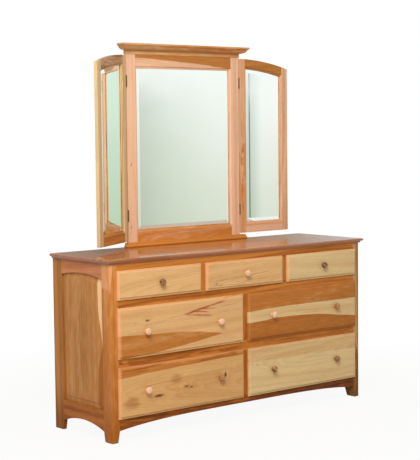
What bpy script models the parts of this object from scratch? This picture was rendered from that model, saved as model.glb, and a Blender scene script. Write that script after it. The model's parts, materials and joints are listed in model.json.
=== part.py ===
"""Seven-drawer hickory dresser with a three-leaf mirror standing at the back of its top.

Metres, +Z up. +X runs to the right along the front, +Y to the back. The origin is on the floor,
under the middle of the outline from the knobs to the back.
"""
import math

import bmesh
import bpy
from mathutils import Vector

# Clearances
FIT = 0.0003
BOX_SIDE_CLEARANCE = 0.002
BOX_TOP_CLEARANCE = 0.012
BOX_BACK_CLEARANCE = 0.040
FRONT_CLEARANCE = 0.002

# Case
CASE_WIDTH = 1.743
CASE_DEPTH = 0.509
RAIL_THICKNESS = 0.022
POST_WIDTH = 0.0476
POST_DEPTH = 0.0705
BACK_POST_THICKNESS = 0.0225
BACK_POST_DEPTH = 0.080
POST_CORNER_RADIUS = 0.009
FOOT_HEIGHT = 0.055
FOOT_TAPER = 0.0105
BACK_THICKNESS = 0.006
BACK_RABBET = 0.009
BACK_FOOT_GAP = 0.105

# Front openings from the floor up
APRON_TOP = 0.1259
LOWER_OPENING = 0.2397
MIDDLE_RAIL = 0.0590
MIDDLE_OPENING = 0.2373
UPPER_RAIL = 0.0568
UPPER_OPENING = 0.1288
TOP_RAIL = 0.0425
TOP_THICKNESS = 0.024
TOP_OVERHANG = 0.0185

# Front openings along the front
TOP_MIDDLE_OPENING = 0.522
TOP_DIVIDER_WIDTH = 0.050
CENTRE_DIVIDER_WIDTH = 0.052

# Apron and side frame
APRON_END_HEIGHT = 0.058
APRON_RISE = 0.029
SIDE_FOOT_GAP = 0.052
SIDE_FOOT_RISE = 0.031
SIDE_BOTTOM_RAIL_TOP = 0.158
SIDE_TOP_RAIL = 0.078
SIDE_TOP_ARCH_RISE = 0.019
PANEL_TONGUE = 0.006
PANEL_TONGUE_DEPTH = 0.007
PANEL_RECESS = 0.011
PANEL_BEVEL_WIDTH = 0.030
PANEL_BEVEL_RISE = 0.0055
PANEL_FIELD_STEP = 0.0025

# Web frames that carry the drawers
WEB_THICKNESS = 0.020
RUNNER_WIDTH = 0.055
RUNNER_SEAT = 0.030
WEB_FRONT_DEPTH = 0.045
WEB_BACK_DEPTH = 0.045
GUIDE_HEIGHT = 0.016
GUIDE_INSET = 0.002

# Drawers
FRONT_LIP = 0.009
LIP_THICKNESS = 0.008
FRONT_RABBET = 0.006
FRONT_MOULD_WIDTH = 0.013
FRONT_MOULD_DEPTH = 0.008
BOX_WALL = 0.0125
BOX_BOTTOM = 0.006
BOX_BOTTOM_RAISE = 0.010
KNOB_SPACING = 0.478
KNOB_RADIUS = 0.018
KNOB_PROJECTION = 0.028
KNOB_TENON_RADIUS = 0.0048
KNOB_TENON_LENGTH = 0.012

# Mirror frame
FRAME_THICKNESS = 0.019
CENTRE_MIRROR_WIDTH = 0.7916
CENTRE_FRAME_HEIGHT = 1.035
STILE_WIDTH = 0.070
MIRROR_TOP_RAIL = 0.0735
MIRROR_BOTTOM_RAIL = 0.091
STICKING_WIDTH = 0.0115
STICKING_DEPTH = 0.006
LIP_DEPTH = 0.010
GLASS_RABBET = 0.009
GLASS_THICKNESS = 0.005
GLASS_EDGE = 0.003
GLASS_BEVEL = 0.029
CROWN_HEIGHT = 0.057
CROWN_OVERHANG = 0.046
BASE_HEIGHT = 0.024
BASE_PROJECTION = 0.031

# Wings
WING_WIDTH = 0.376
WING_THICKNESS = 0.0185
WING_BASE_GAP = 0.006
WING_CROWN_GAP = 0.005
WING_ARC_RADIUS = 1.38
WING_STILE = 0.056
WING_TOP_RAIL = 0.0565
WING_BOTTOM_RAIL = 0.0625
WING_GAP = 0.003
LEFT_WING_SWING = math.radians(31.5)

# Hinges
HINGE_LENGTH = 0.062
HINGE_INSET = 0.139
HINGE_STANDOFF = 0.003
HINGE_LEAF = 0.001
HINGE_LEAF_DEPTH = 0.016
KNUCKLE_RADIUS = 0.0027
PIN_RADIUS = 0.0010
PIN_CLEARANCE = 0.00045
KNUCKLE_GAP = 0.0004

# Worked out from the sizes above
FRONT_PROUD = LIP_THICKNESS + FRONT_MOULD_DEPTH
TOTAL_DEPTH = CASE_DEPTH + FRONT_PROUD + KNOB_PROJECTION
CASE_BACK = TOTAL_DEPTH / 2
CASE_FRONT = CASE_BACK - CASE_DEPTH
CASE_SIDE = CASE_WIDTH / 2
POST_INSIDE = CASE_SIDE - POST_WIDTH
POST_BACK = CASE_FRONT + POST_DEPTH
BACK_POST_FRONT = CASE_BACK - BACK_POST_DEPTH
BACK_INSIDE = CASE_BACK - BACK_THICKNESS
LOWER_TOP = APRON_TOP + LOWER_OPENING
MIDDLE_BASE = LOWER_TOP + MIDDLE_RAIL
MIDDLE_TOP = MIDDLE_BASE + MIDDLE_OPENING
UPPER_BASE = MIDDLE_TOP + UPPER_RAIL
UPPER_TOP = UPPER_BASE + UPPER_OPENING
TOP_UNDERSIDE = UPPER_TOP + TOP_RAIL
TOP_SURFACE = TOP_UNDERSIDE + TOP_THICKNESS
CASE_INSIDE = CASE_SIDE - max(RAIL_THICKNESS, BACK_POST_THICKNESS)
MIRROR_BASE = TOP_SURFACE + FIT
MIRROR_TOP = TOP_SURFACE + CENTRE_FRAME_HEIGHT
MIRROR_FRONT = CASE_BACK - FRAME_THICKNESS
MIRROR_SIDE = CENTRE_MIRROR_WIDTH / 2
BASE_TOP = MIRROR_BASE + BASE_HEIGHT
WING_BOTTOM = BASE_TOP + WING_BASE_GAP
WING_TOP = MIRROR_TOP - WING_CROWN_GAP
HINGE_X = MIRROR_SIDE + WING_GAP / 2
HINGE_Y = MIRROR_FRONT - HINGE_STANDOFF

# Steps in an arc, and facets round a turned piece
ARC_STEPS = 12
COVE_STEPS = 5
CORNER_STEPS = 4
TURNING_FACETS = 20
KNUCKLE_FACETS = 16
PIN_FACETS = 12

# Top board's edge, as shares of its thickness and overhang
TOP_NOSE_LEVEL = 0.62
TOP_COVE_SHARE = 0.42
TOP_COVE_REACH = 0.62
TOP_CURVE_SHARE = 0.55
TOP_LEDGE_SHARE = 0.85

# Knob, as shares of its projection and of its head's radius
KNOB_HEAD_LEVEL = 0.62
KNOB_NECK_LEVEL = 0.34
KNOB_UNDERCUT_SHARE = 0.35
KNOB_SHOULDER_SHARE = 0.80
KNOB_NECK_SHARE = 0.46
KNOB_FOOT_SHARE = 0.58

# Crown, as shares of its height and overhang
CROWN_BEAD_LEVEL = 0.35
CROWN_FILLET_SHARE = 0.19
CROWN_EASING_SHARE = 0.06
CROWN_BEAD_REACH = 0.15
CROWN_COVE_START = 0.22
CROWN_COVE_MIDDLE = 0.68
CROWN_COVE_END = 0.94

# Base moulding, as shares of its height and projection
BASE_NOSE_SHARE = 0.50
BASE_NOSE_BULGE = 0.10
BASE_UPRIGHT_LEVEL = 0.56
BASE_UPRIGHT_REACH = 0.84
BASE_EASING_SHARE = 0.06

# Hinge necks stand in from the leaf by this share of its thickness
NECK_INSET_SHARE = 0.1

parts = None
cutters = None


# Scene and finishes
def clear_scene():
    for item in list(bpy.data.objects):
        bpy.data.objects.remove(item, do_unlink=True)


def new_collection(name):
    collection = bpy.data.collections.new(name)
    bpy.context.scene.collection.children.link(collection)
    return collection


def finish(name, colour, roughness, metallic=0.0):
    """A plain Principled finish."""
    material = bpy.data.materials.new(name)
    material.use_nodes = True
    shader = material.node_tree.nodes["Principled BSDF"]
    shader.inputs["Base Color"].default_value = (*colour, 1.0)
    shader.inputs["Roughness"].default_value = roughness
    shader.inputs["Metallic"].default_value = metallic
    material.diffuse_color = (*colour, 1.0)
    return material


def make_finishes():
    return {
        "frame": finish("hickory_frame", (0.47, 0.20, 0.065), 0.35),
        "top": finish("hickory_top", (0.45, 0.21, 0.10), 0.15),
        "panel": finish("hickory_panel", (0.45, 0.23, 0.09), 0.35),
        "front": finish("hickory_front", (0.66, 0.44, 0.22), 0.35),
        "knob": finish("hickory_knob", (0.55, 0.30, 0.13), 0.3),
        "inside": finish("maple_inside", (0.68, 0.50, 0.30), 0.5),
        "back": finish("back_ply", (0.50, 0.33, 0.18), 0.6),
        "glass": finish("mirror_glass", (0.86, 0.90, 0.87), 0.03, 1.0),
        "hinge": finish("hinge_brass", (0.32, 0.20, 0.08), 0.35, 0.9),
    }


# Modelling helpers
def add_object(name, mesh, material=None, parent=None, cutter=False):
    """Put a mesh in the parts, or among the cutters where it only shapes another piece."""
    item = bpy.data.objects.new(name, mesh)
    (cutters if cutter else parts).objects.link(item)
    if cutter:
        item.hide_render = True
        item.display_type = "WIRE"
    if material:
        mesh.materials.append(material)
    if parent:
        item.parent = parent
    return item


def centre_origin(item):
    """Move an object's origin to the middle of its mesh, leaving the mesh where it is."""
    corners = [vertex.co for vertex in item.data.vertices]
    low = Vector(min(corner[axis] for corner in corners) for axis in range(3))
    high = Vector(max(corner[axis] for corner in corners) for axis in range(3))
    middle = (low + high) / 2
    for vertex in item.data.vertices:
        vertex.co -= middle
    item.location = item.location + middle


def face_outwards(work):
    """Turn every face of a closed mesh outwards."""
    bmesh.ops.recalc_face_normals(work, faces=work.faces)
    if work.calc_volume(signed=True) < 0:
        bmesh.ops.reverse_faces(work, faces=work.faces)


def block(name, low, high, material=None, parent=None, cutter=False):
    """A box between two corners."""
    work = bmesh.new()
    bmesh.ops.create_cube(work, size=1.0)
    size = [b - a for a, b in zip(low, high)]
    middle = [(a + b) / 2 for a, b in zip(low, high)]
    bmesh.ops.scale(work, vec=size, verts=work.verts)
    mesh = bpy.data.meshes.new(name)
    work.to_mesh(mesh)
    work.free()
    item = add_object(name, mesh, material, parent, cutter)
    item.location = middle
    return item


def loft(name, outlines, material=None, parent=None, cutter=False):
    """Extrude a capped outline through a list of outlines with the same number of points."""
    work = bmesh.new()
    count = len(outlines[0])
    bmesh.ops.create_circle(work, cap_ends=True, radius=1.0, segments=count)
    work.verts.ensure_lookup_table()
    ring = list(work.verts)
    for vertex, point in zip(ring, outlines[0]):
        vertex.co = point
    work.faces.ensure_lookup_table()
    cap = work.faces[0]
    for step, outline in enumerate(outlines[1:]):
        before = [vertex.co.copy() for vertex in ring]
        made = bmesh.ops.extrude_face_region(work, geom=[cap])["geom"]
        if step > 0 and cap.is_valid:
            bmesh.ops.delete(work, geom=[cap], context="FACES_ONLY")
        fresh = [part for part in made if isinstance(part, bmesh.types.BMVert)]
        cap = next(part for part in made if isinstance(part, bmesh.types.BMFace))
        ring = [None] * count
        for vertex in fresh:
            index = min(range(count), key=lambda i: (before[i] - vertex.co).length)
            ring[index] = vertex
        for vertex, point in zip(ring, outline):
            vertex.co = point
    face_outwards(work)
    mesh = bpy.data.meshes.new(name)
    work.to_mesh(mesh)
    work.free()
    item = add_object(name, mesh, material, parent, cutter)
    centre_origin(item)
    return item


def plate(name, outline, thickness, place, material=None, parent=None):
    """A flat board from a 2D outline; place turns a flat point into a point in space."""
    curve = bpy.data.curves.new(name, "CURVE")
    curve.dimensions = "2D"
    curve.fill_mode = "BOTH"
    curve.extrude = thickness / 2
    spline = curve.splines.new("POLY")
    spline.points.add(len(outline) - 1)
    spline.use_cyclic_u = True
    for target, (u, v) in zip(spline.points, outline):
        target.co = (u, v, 0.0, 1.0)
    flat = bpy.data.objects.new(name + "_outline", curve)
    parts.objects.link(flat)
    bpy.context.view_layer.update()
    ready = flat.evaluated_get(bpy.context.evaluated_depsgraph_get())
    mesh = bpy.data.meshes.new_from_object(ready)
    bpy.data.objects.remove(flat, do_unlink=True)
    bpy.data.curves.remove(curve)
    work = bmesh.new()
    work.from_mesh(mesh)
    bmesh.ops.remove_doubles(work, verts=work.verts, dist=0.00001)
    for vertex in work.verts:
        vertex.co = place(vertex.co.x, vertex.co.y, vertex.co.z)
    face_outwards(work)
    work.to_mesh(mesh)
    work.free()
    mesh.name = name
    mesh.materials.clear()
    item = add_object(name, mesh, material, parent)
    centre_origin(item)
    return item


def turned(name, profile, steps, material=None, parent=None):
    """A turned shape about Z from (radius, height) points that run down its outer side."""
    mesh = bpy.data.meshes.new(name)
    points = [(radius, 0.0, height) for radius, height in profile]
    edges = [(index, index + 1) for index in range(len(points) - 1)]
    mesh.from_pydata(points, edges, [])
    item = add_object(name, mesh, material, parent)
    screw = item.modifiers.new("Turn", "SCREW")
    screw.axis = "Z"
    screw.steps = steps
    screw.render_steps = steps
    screw.use_merge_vertices = True
    screw.merge_threshold = 0.00001
    screw.use_smooth_shade = True
    return item


def boolean(item, tool, operation):
    modifier = item.modifiers.new(operation.title() + "_" + tool.name, "BOOLEAN")
    modifier.operation = operation
    modifier.object = tool
    modifier.solver = "EXACT"


def cut(item, tool):
    boolean(item, tool, "DIFFERENCE")


def join(item, tool):
    boolean(item, tool, "UNION")


def rectangle(left, right, low, high):
    return [(left, low), (right, low), (right, high), (left, high)]


def arched_outline(left, right, base, centre, radius, inset=0.0):
    """A rectangle with an arched head; inset draws it in by the same amount all round."""
    left += inset
    right -= inset
    base += inset
    radius -= inset
    points = [(left, base), (right, base)]
    for step in range(ARC_STEPS + 1):
        u = right + (left - right) * step / ARC_STEPS
        points.append((u, centre[1] + math.sqrt(radius ** 2 - (u - centre[0]) ** 2)))
    return points


# Top board
def top_section():
    """Height and overhang up the moulded edge: a cove below and a pointed nose above."""
    nose_height = TOP_THICKNESS * TOP_NOSE_LEVEL
    cove_height = TOP_THICKNESS * TOP_COVE_SHARE
    cove_reach = TOP_OVERHANG * TOP_COVE_REACH
    section = []
    for step in range(COVE_STEPS + 1):
        angle = math.pi / 2 * step / COVE_STEPS
        drawn_in = cove_reach * TOP_CURVE_SHARE * math.cos(angle)
        section.append((cove_height * math.sin(angle), cove_reach - drawn_in))
    section.append((cove_height, TOP_OVERHANG * TOP_LEDGE_SHARE))
    section.append((nose_height, TOP_OVERHANG))
    for step in range(1, COVE_STEPS + 1):
        angle = math.pi / 2 * step / COVE_STEPS
        rise = (TOP_THICKNESS - nose_height) * math.sin(angle)
        drawn_in = TOP_OVERHANG * TOP_CURVE_SHARE * (1 - math.cos(angle))
        section.append((nose_height + rise, TOP_OVERHANG - drawn_in))
    return section


def make_top(finishes):
    outlines = []
    for height, overhang in top_section():
        z = TOP_UNDERSIDE + height
        corners = rectangle(-CASE_SIDE - overhang, CASE_SIDE + overhang, CASE_FRONT - overhang, CASE_BACK)
        outlines.append([(x, y, z) for x, y in corners])
    loft("top_board", outlines, finishes["top"])


# Posts
def post_outline(side, inner, front, back, rounded_front, radius):
    """Post section with its outer corner rounded; side is -1 for the left and 1 for the right."""
    outer = CASE_SIDE
    face, far = (front, back) if rounded_front else (back, front)
    toward = 1.0 if rounded_front else -1.0
    points = [(inner, face), (inner, far), (outer, far)]
    for step in range(CORNER_STEPS + 1):
        angle = math.pi / 2 * step / CORNER_STEPS
        points.append((outer - radius + radius * math.cos(angle),
                       face + toward * (radius - radius * math.sin(angle))))
    return [(side * x, y) for x, y in points]


def make_post(name, side, is_front, material):
    top = TOP_UNDERSIDE - FIT
    if is_front:
        inner, front, back, radius = POST_INSIDE, CASE_FRONT, POST_BACK, POST_CORNER_RADIUS
        foot_inner, foot_front, foot_back = inner + FOOT_TAPER, front, back - FOOT_TAPER
    else:
        inner, front, back = CASE_SIDE - BACK_POST_THICKNESS, BACK_POST_FRONT, CASE_BACK
        radius = POST_CORNER_RADIUS / 3
        foot_inner, foot_front, foot_back = inner, front + FOOT_TAPER, back
    foot = post_outline(side, foot_inner, foot_front, foot_back, is_front, radius)
    full = post_outline(side, inner, front, back, is_front, radius)
    outlines = [[(x, y, 0.0) for x, y in foot]]
    outlines += [[(x, y, z) for x, y in full] for z in (FOOT_HEIGHT, top)]
    return loft(name, outlines, material)


# Side frames
def side_opening():
    """Ends of the side panel's opening and the arc of its head."""
    front, back = POST_BACK, BACK_POST_FRONT
    half = (back - front) / 2
    radius = (half ** 2 + SIDE_TOP_ARCH_RISE ** 2) / (2 * SIDE_TOP_ARCH_RISE)
    apex = TOP_UNDERSIDE - SIDE_TOP_RAIL + SIDE_TOP_ARCH_RISE
    return front, back, ((front + back) / 2, apex - radius), radius


def side_outline(inset):
    front, back, centre, radius = side_opening()
    return arched_outline(front, back, SIDE_BOTTOM_RAIL_TOP, centre, radius, inset)


def arch_points(start, end, height, rise, power=2.0):
    """Points from start to end along an arch that is highest in the middle."""
    points = []
    for step in range(ARC_STEPS + 1):
        share = 2 * step / ARC_STEPS - 1
        u = start + (end - start) * step / ARC_STEPS
        points.append((u, height + rise * (1 - abs(share) ** power)))
    return points


def make_side(side, label, finishes, posts):
    front, back, centre, radius = side_opening()
    middle = side * (CASE_SIDE - RAIL_THICKNESS / 2)

    def place(u, v, w):
        return Vector((middle + w, u, v))

    head = side_outline(0.0)[2:]
    top = TOP_UNDERSIDE - FIT
    upper = [(front + FIT, head[-1][1])] + [point for point in reversed(head[1:-1])]
    upper += [(back - FIT, head[0][1]), (back - FIT, top), (front + FIT, top)]
    top_rail = plate("side_top_rail_" + label, upper, RAIL_THICKNESS, place, finishes["frame"])
    lower = arch_points(front + FIT, back - FIT, SIDE_FOOT_GAP, SIDE_FOOT_RISE)
    lower += [(back - FIT, SIDE_BOTTOM_RAIL_TOP), (front + FIT, SIDE_BOTTOM_RAIL_TOP)]
    bottom_rail = plate("side_bottom_rail_" + label, lower, RAIL_THICKNESS, place, finishes["frame"])

    groove_face = CASE_SIDE - PANEL_RECESS
    tongue_back = groove_face - PANEL_TONGUE
    bevel_top = groove_face + PANEL_BEVEL_RISE
    stations = [(-PANEL_TONGUE_DEPTH, tongue_back), (-PANEL_TONGUE_DEPTH, groove_face),
                (FIT, groove_face), (PANEL_BEVEL_WIDTH, bevel_top),
                (PANEL_BEVEL_WIDTH, bevel_top + PANEL_FIELD_STEP)]
    outlines = [[(side * x, u, v) for u, v in side_outline(inset)] for inset, x in stations]
    loft("side_panel_" + label, outlines, finishes["panel"])
    groove_inset = -PANEL_TONGUE_DEPTH - FIT
    groove = [[(side * x, u, v) for u, v in side_outline(groove_inset)]
              for x in (tongue_back - FIT, groove_face + FIT)]
    cutter = loft("panel_groove_" + label, groove, cutter=True)
    for piece in [top_rail, bottom_rail] + posts:
        cut(piece, cutter)


def make_case_ends(finishes):
    rabbet = block("back_rabbet",
                   (-back_half_width() - FIT, BACK_INSIDE - FIT, -FOOT_HEIGHT),
                   (back_half_width() + FIT, CASE_BACK + BACK_RABBET, TOP_SURFACE), cutter=True)
    for side, label in ((-1, "left"), (1, "right")):
        front_post = make_post("front_post_" + label, side, True, finishes["frame"])
        back_post = make_post("back_post_" + label, side, False, finishes["frame"])
        make_side(side, label, finishes, [front_post, back_post])
        cut(back_post, rabbet)


def back_half_width():
    return CASE_SIDE - BACK_POST_THICKNESS + BACK_RABBET


def make_back(finishes):
    half = back_half_width()
    block("back_panel", (-half, BACK_INSIDE, BACK_FOOT_GAP), (half, CASE_BACK, TOP_UNDERSIDE - FIT),
          finishes["back"])


# Front rails and web frames
def runners_at(centres):
    """Side runners with one runner under each divider between them."""
    edge = POST_INSIDE - RUNNER_WIDTH
    spans = [(-CASE_SIDE, -edge)]
    spans += [(x - width / 2 - RUNNER_SEAT, x + width / 2 + RUNNER_SEAT) for x, width in centres]
    return spans + [(edge, CASE_SIDE)]


def make_web_frame(name, level, rail_height, dividers, finishes):
    """Front rail with the frame of runners behind it; without a rail it starts behind the apron."""
    narrow = POST_INSIDE - FIT
    wide = CASE_INSIDE - FIT
    rail_back = CASE_FRONT + RAIL_THICKNESS
    start = rail_back - GUIDE_INSET if rail_height else rail_back + FIT
    end = BACK_INSIDE - FIT
    step_y = POST_BACK + FIT
    frame = block(name, (-wide, start, level - WEB_THICKNESS), (wide, end, level), finishes["inside"])
    for side, label in ((-1, "left"), (1, "right")):
        inner, outer = sorted((side * (narrow - GUIDE_INSET), side * CASE_SIDE))
        notch = block(f"{name}_notch_{label}", (inner, CASE_FRONT, level - 2 * WEB_THICKNESS),
                      (outer, step_y, level + WEB_THICKNESS), cutter=True)
        cut(frame, notch)
    runners = runners_at(dividers)
    for index, ((_, left), (right, _)) in enumerate(zip(runners, runners[1:])):
        window = block(f"{name}_window_{index}",
                       (left, rail_back + WEB_FRONT_DEPTH, level - 2 * WEB_THICKNESS),
                       (right, end - WEB_BACK_DEPTH, level + WEB_THICKNESS), cutter=True)
        cut(frame, window)
    if rail_height:
        rail = block(name + "_rail", (-narrow, CASE_FRONT, level - rail_height),
                     (narrow, rail_back, level), cutter=True)
        join(frame, rail)
    for side, label in ((-1, "left"), (1, "right")):
        inner, outer = sorted((side * POST_INSIDE, side * (wide - GUIDE_INSET)))
        guide = block(name + "_guide_" + label, (inner, step_y + GUIDE_INSET, level - GUIDE_HEIGHT / 2),
                      (outer, end - WEB_BACK_DEPTH, level + GUIDE_HEIGHT), cutter=True)
        join(frame, guide)
    return frame


def make_front_frame(finishes):
    narrow = POST_INSIDE - FIT
    back = CASE_FRONT + RAIL_THICKNESS
    lap = CASE_FRONT + RAIL_THICKNESS / 2
    block("front_top_rail", (-narrow, CASE_FRONT, UPPER_TOP), (narrow, back, TOP_UNDERSIDE - FIT),
          finishes["frame"])
    outline = arch_points(-narrow, narrow, APRON_END_HEIGHT, APRON_RISE, 4.0)
    outline += [(narrow, APRON_TOP), (-narrow, APRON_TOP)]
    plate("front_apron", outline, RAIL_THICKNESS,
          lambda u, v, w: Vector((u, lap + w, v)), finishes["frame"])

    top_divider = (TOP_MIDDLE_OPENING + TOP_DIVIDER_WIDTH) / 2
    top_runners = [(-top_divider, TOP_DIVIDER_WIDTH), (top_divider, TOP_DIVIDER_WIDTH)]
    centre_runner = [(0.0, CENTRE_DIVIDER_WIDTH)]
    make_web_frame("upper_drawer_frame", UPPER_BASE, UPPER_RAIL, top_runners, finishes)
    middle = make_web_frame("middle_drawer_frame", MIDDLE_BASE, MIDDLE_RAIL, centre_runner, finishes)
    make_web_frame("bottom_drawer_frame", APRON_TOP, 0.0, centre_runner, finishes)

    for side, label in ((-1, "left"), (1, "right")):
        make_divider("top_divider_" + label, side * top_divider, TOP_DIVIDER_WIDTH,
                     UPPER_BASE + FIT, UPPER_TOP - FIT, [UPPER_BASE + FIT], finishes)
    centre = make_divider("centre_divider", 0.0, CENTRE_DIVIDER_WIDTH, APRON_TOP + FIT,
                          MIDDLE_TOP - FIT, [APRON_TOP + FIT, MIDDLE_BASE + FIT], finishes)
    half = CENTRE_DIVIDER_WIDTH / 2 + FIT
    notch = block("divider_notch", (-half, lap, LOWER_TOP - MIDDLE_RAIL),
                  (half, back + FIT, MIDDLE_BASE + MIDDLE_RAIL), cutter=True)
    cut(middle, notch)
    lap_cut = block("rail_lap", (-2 * half, CASE_FRONT - RAIL_THICKNESS, LOWER_TOP - FIT),
                    (2 * half, lap + FIT, MIDDLE_BASE + FIT), cutter=True)
    cut(centre, lap_cut)


def make_divider(name, x, width, low, high, levels, finishes):
    """Upright between drawers, with a drawer guide running back at each level."""
    front = CASE_FRONT
    back = CASE_FRONT + RAIL_THICKNESS
    upright = block(name, (x - width / 2, front, low), (x + width / 2, back, high), finishes["frame"])
    reach = BACK_INSIDE - FIT - WEB_BACK_DEPTH
    half = width / 2 - GUIDE_INSET
    for index, level in enumerate(levels):
        guide = block(f"{name}_guide_{index}", (x - half, back - RAIL_THICKNESS / 2 + GUIDE_INSET, level),
                      (x + half, reach, level + GUIDE_HEIGHT), cutter=True)
        join(upright, guide)
    return upright


# Drawers
def knob_profile():
    """Radius and height of the knob, from the crown of its head down to the end of its tenon."""
    head = KNOB_HEAD_LEVEL * KNOB_PROJECTION
    neck = KNOB_NECK_LEVEL * KNOB_PROJECTION
    shoulder = neck + KNOB_UNDERCUT_SHARE * (head - neck)
    profile = [(0.0, KNOB_PROJECTION)]
    for step in range(1, COVE_STEPS + 1):
        angle = math.pi / 2 * step / COVE_STEPS
        rise = (KNOB_PROJECTION - head) * math.cos(angle)
        profile.append((KNOB_RADIUS * math.sin(angle), head + rise))
    profile.append((KNOB_RADIUS * KNOB_SHOULDER_SHARE, shoulder))
    profile.append((KNOB_RADIUS * KNOB_NECK_SHARE, neck))
    profile.append((KNOB_RADIUS * KNOB_NECK_SHARE, neck / 2))
    profile.append((KNOB_RADIUS * KNOB_FOOT_SHARE, FIT))
    profile.append((KNOB_TENON_RADIUS, FIT))
    profile.append((KNOB_TENON_RADIUS, -KNOB_TENON_LENGTH))
    profile.append((0.0, -KNOB_TENON_LENGTH))
    return profile


def make_knob(name, x, z, slide, finishes, front):
    """Turned knob on the front's face, with its tenon in a hole in the front."""
    face = CASE_FRONT - FRONT_PROUD
    knob = turned(name, knob_profile(), TURNING_FACETS, finishes["knob"], slide)
    knob.rotation_euler = (math.pi / 2, 0.0, 0.0)
    knob.location = (x - slide.location.x, face - slide.location.y, z - slide.location.z)
    hole_mesh = bpy.data.meshes.new(name + "_hole")
    work = bmesh.new()
    depth = KNOB_TENON_LENGTH + FIT
    bmesh.ops.create_cone(work, cap_ends=True, segments=TURNING_FACETS, radius1=KNOB_TENON_RADIUS + 2 * FIT,
                          radius2=KNOB_TENON_RADIUS + 2 * FIT, depth=2 * depth)
    work.to_mesh(hole_mesh)
    work.free()
    hole = add_object(name + "_hole", hole_mesh, parent=slide, cutter=True)
    hole.rotation_euler = knob.rotation_euler
    hole.location = knob.location
    cut(front, hole)


def make_drawer(label, left, right, low, high, knobs, finishes):
    """One drawer in the opening between left and right, low and high."""
    slide = bpy.data.objects.new("drawer_" + label + "_slide", None)
    parts.objects.link(slide)
    slide.location = ((left + right) / 2, CASE_FRONT, (low + high) / 2)

    def local(points):
        return [Vector(point) - slide.location for point in points]

    def at(inset, y):
        edges = rectangle(left + inset, right - inset, low + inset, high - inset)
        return local([(x, y, z) for x, z in edges])

    lip_back = CASE_FRONT - FIT
    stations = [(FRONT_CLEARANCE, CASE_FRONT + FRONT_RABBET), (FRONT_CLEARANCE, lip_back),
                (-FRONT_LIP, lip_back), (-FRONT_LIP, CASE_FRONT - LIP_THICKNESS)]
    for step in range(1, COVE_STEPS + 1):
        angle = math.pi / 2 * step / COVE_STEPS
        stations.append((-FRONT_LIP + FRONT_MOULD_WIDTH * math.sin(angle),
                         CASE_FRONT - FRONT_PROUD + FRONT_MOULD_DEPTH * math.cos(angle)))
    front = loft("drawer_front_" + label, [at(inset, y) for inset, y in stations],
                 finishes["front"], slide)

    box_left = left + BOX_SIDE_CLEARANCE
    box_right = right - BOX_SIDE_CLEARANCE
    box_front = CASE_FRONT + FRONT_RABBET + FIT
    box_back = BACK_INSIDE - BOX_BACK_CLEARANCE
    box_low = low + FIT
    box_high = high - BOX_TOP_CLEARANCE

    def ring(inset, z):
        edges = rectangle(box_left + inset, box_right - inset, box_front + inset, box_back - inset)
        return local([(x, y, z) for x, y in edges])

    underside = box_low + BOX_BOTTOM_RAISE
    outlines = [ring(BOX_WALL, underside), ring(BOX_WALL, box_low), ring(0.0, box_low),
                ring(0.0, box_high), ring(BOX_WALL, box_high), ring(BOX_WALL, underside + BOX_BOTTOM)]
    loft("drawer_box_" + label, outlines, finishes["inside"], slide)

    middle_x, middle_z = slide.location.x, slide.location.z
    if knobs == 1:
        make_knob("knob_" + label, middle_x, middle_z, slide, finishes, front)
    else:
        for side, end in ((-1, "left"), (1, "right")):
            make_knob(f"knob_{label}_{end}", middle_x + side * KNOB_SPACING / 2, middle_z, slide,
                      finishes, front)


def make_drawers(finishes):
    middle = TOP_MIDDLE_OPENING / 2
    outer = middle + TOP_DIVIDER_WIDTH
    make_drawer("top_left", -POST_INSIDE, -outer, UPPER_BASE, UPPER_TOP, 1, finishes)
    make_drawer("top_middle", -middle, middle, UPPER_BASE, UPPER_TOP, 1, finishes)
    make_drawer("top_right", outer, POST_INSIDE, UPPER_BASE, UPPER_TOP, 1, finishes)
    half = CENTRE_DIVIDER_WIDTH / 2
    for row, low, high in (("middle", MIDDLE_BASE, MIDDLE_TOP), ("bottom", APRON_TOP, LOWER_TOP)):
        make_drawer(row + "_left", -POST_INSIDE, -half, low, high, 2, finishes)
        make_drawer(row + "_right", half, POST_INSIDE, low, high, 2, finishes)


# Mirror
def window_stations(front):
    """Inset and depth of a mirror window's cutter: moulded edge, lip, then the glass rabbet."""
    stations = [(-STICKING_WIDTH, front - STICKING_DEPTH), (-STICKING_WIDTH, front)]
    for step in range(1, CORNER_STEPS + 1):
        angle = math.pi / 2 * step / CORNER_STEPS
        stations.append((-STICKING_WIDTH * math.cos(angle), front + STICKING_DEPTH * math.sin(angle)))
    stations.append((0.0, front + LIP_DEPTH))
    stations.append((-GLASS_RABBET, front + LIP_DEPTH))
    stations.append((-GLASS_RABBET, front + 2 * FRAME_THICKNESS))
    return stations


def glass_stations(front):
    """Inset and depth of the glass, from its back to the field inside its bevel."""
    edge = -GLASS_RABBET + FIT
    back = front + LIP_DEPTH + FIT + GLASS_THICKNESS
    return [(edge, back), (edge, back - GLASS_EDGE), (edge + GLASS_BEVEL, back - GLASS_THICKNESS)]


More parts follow.
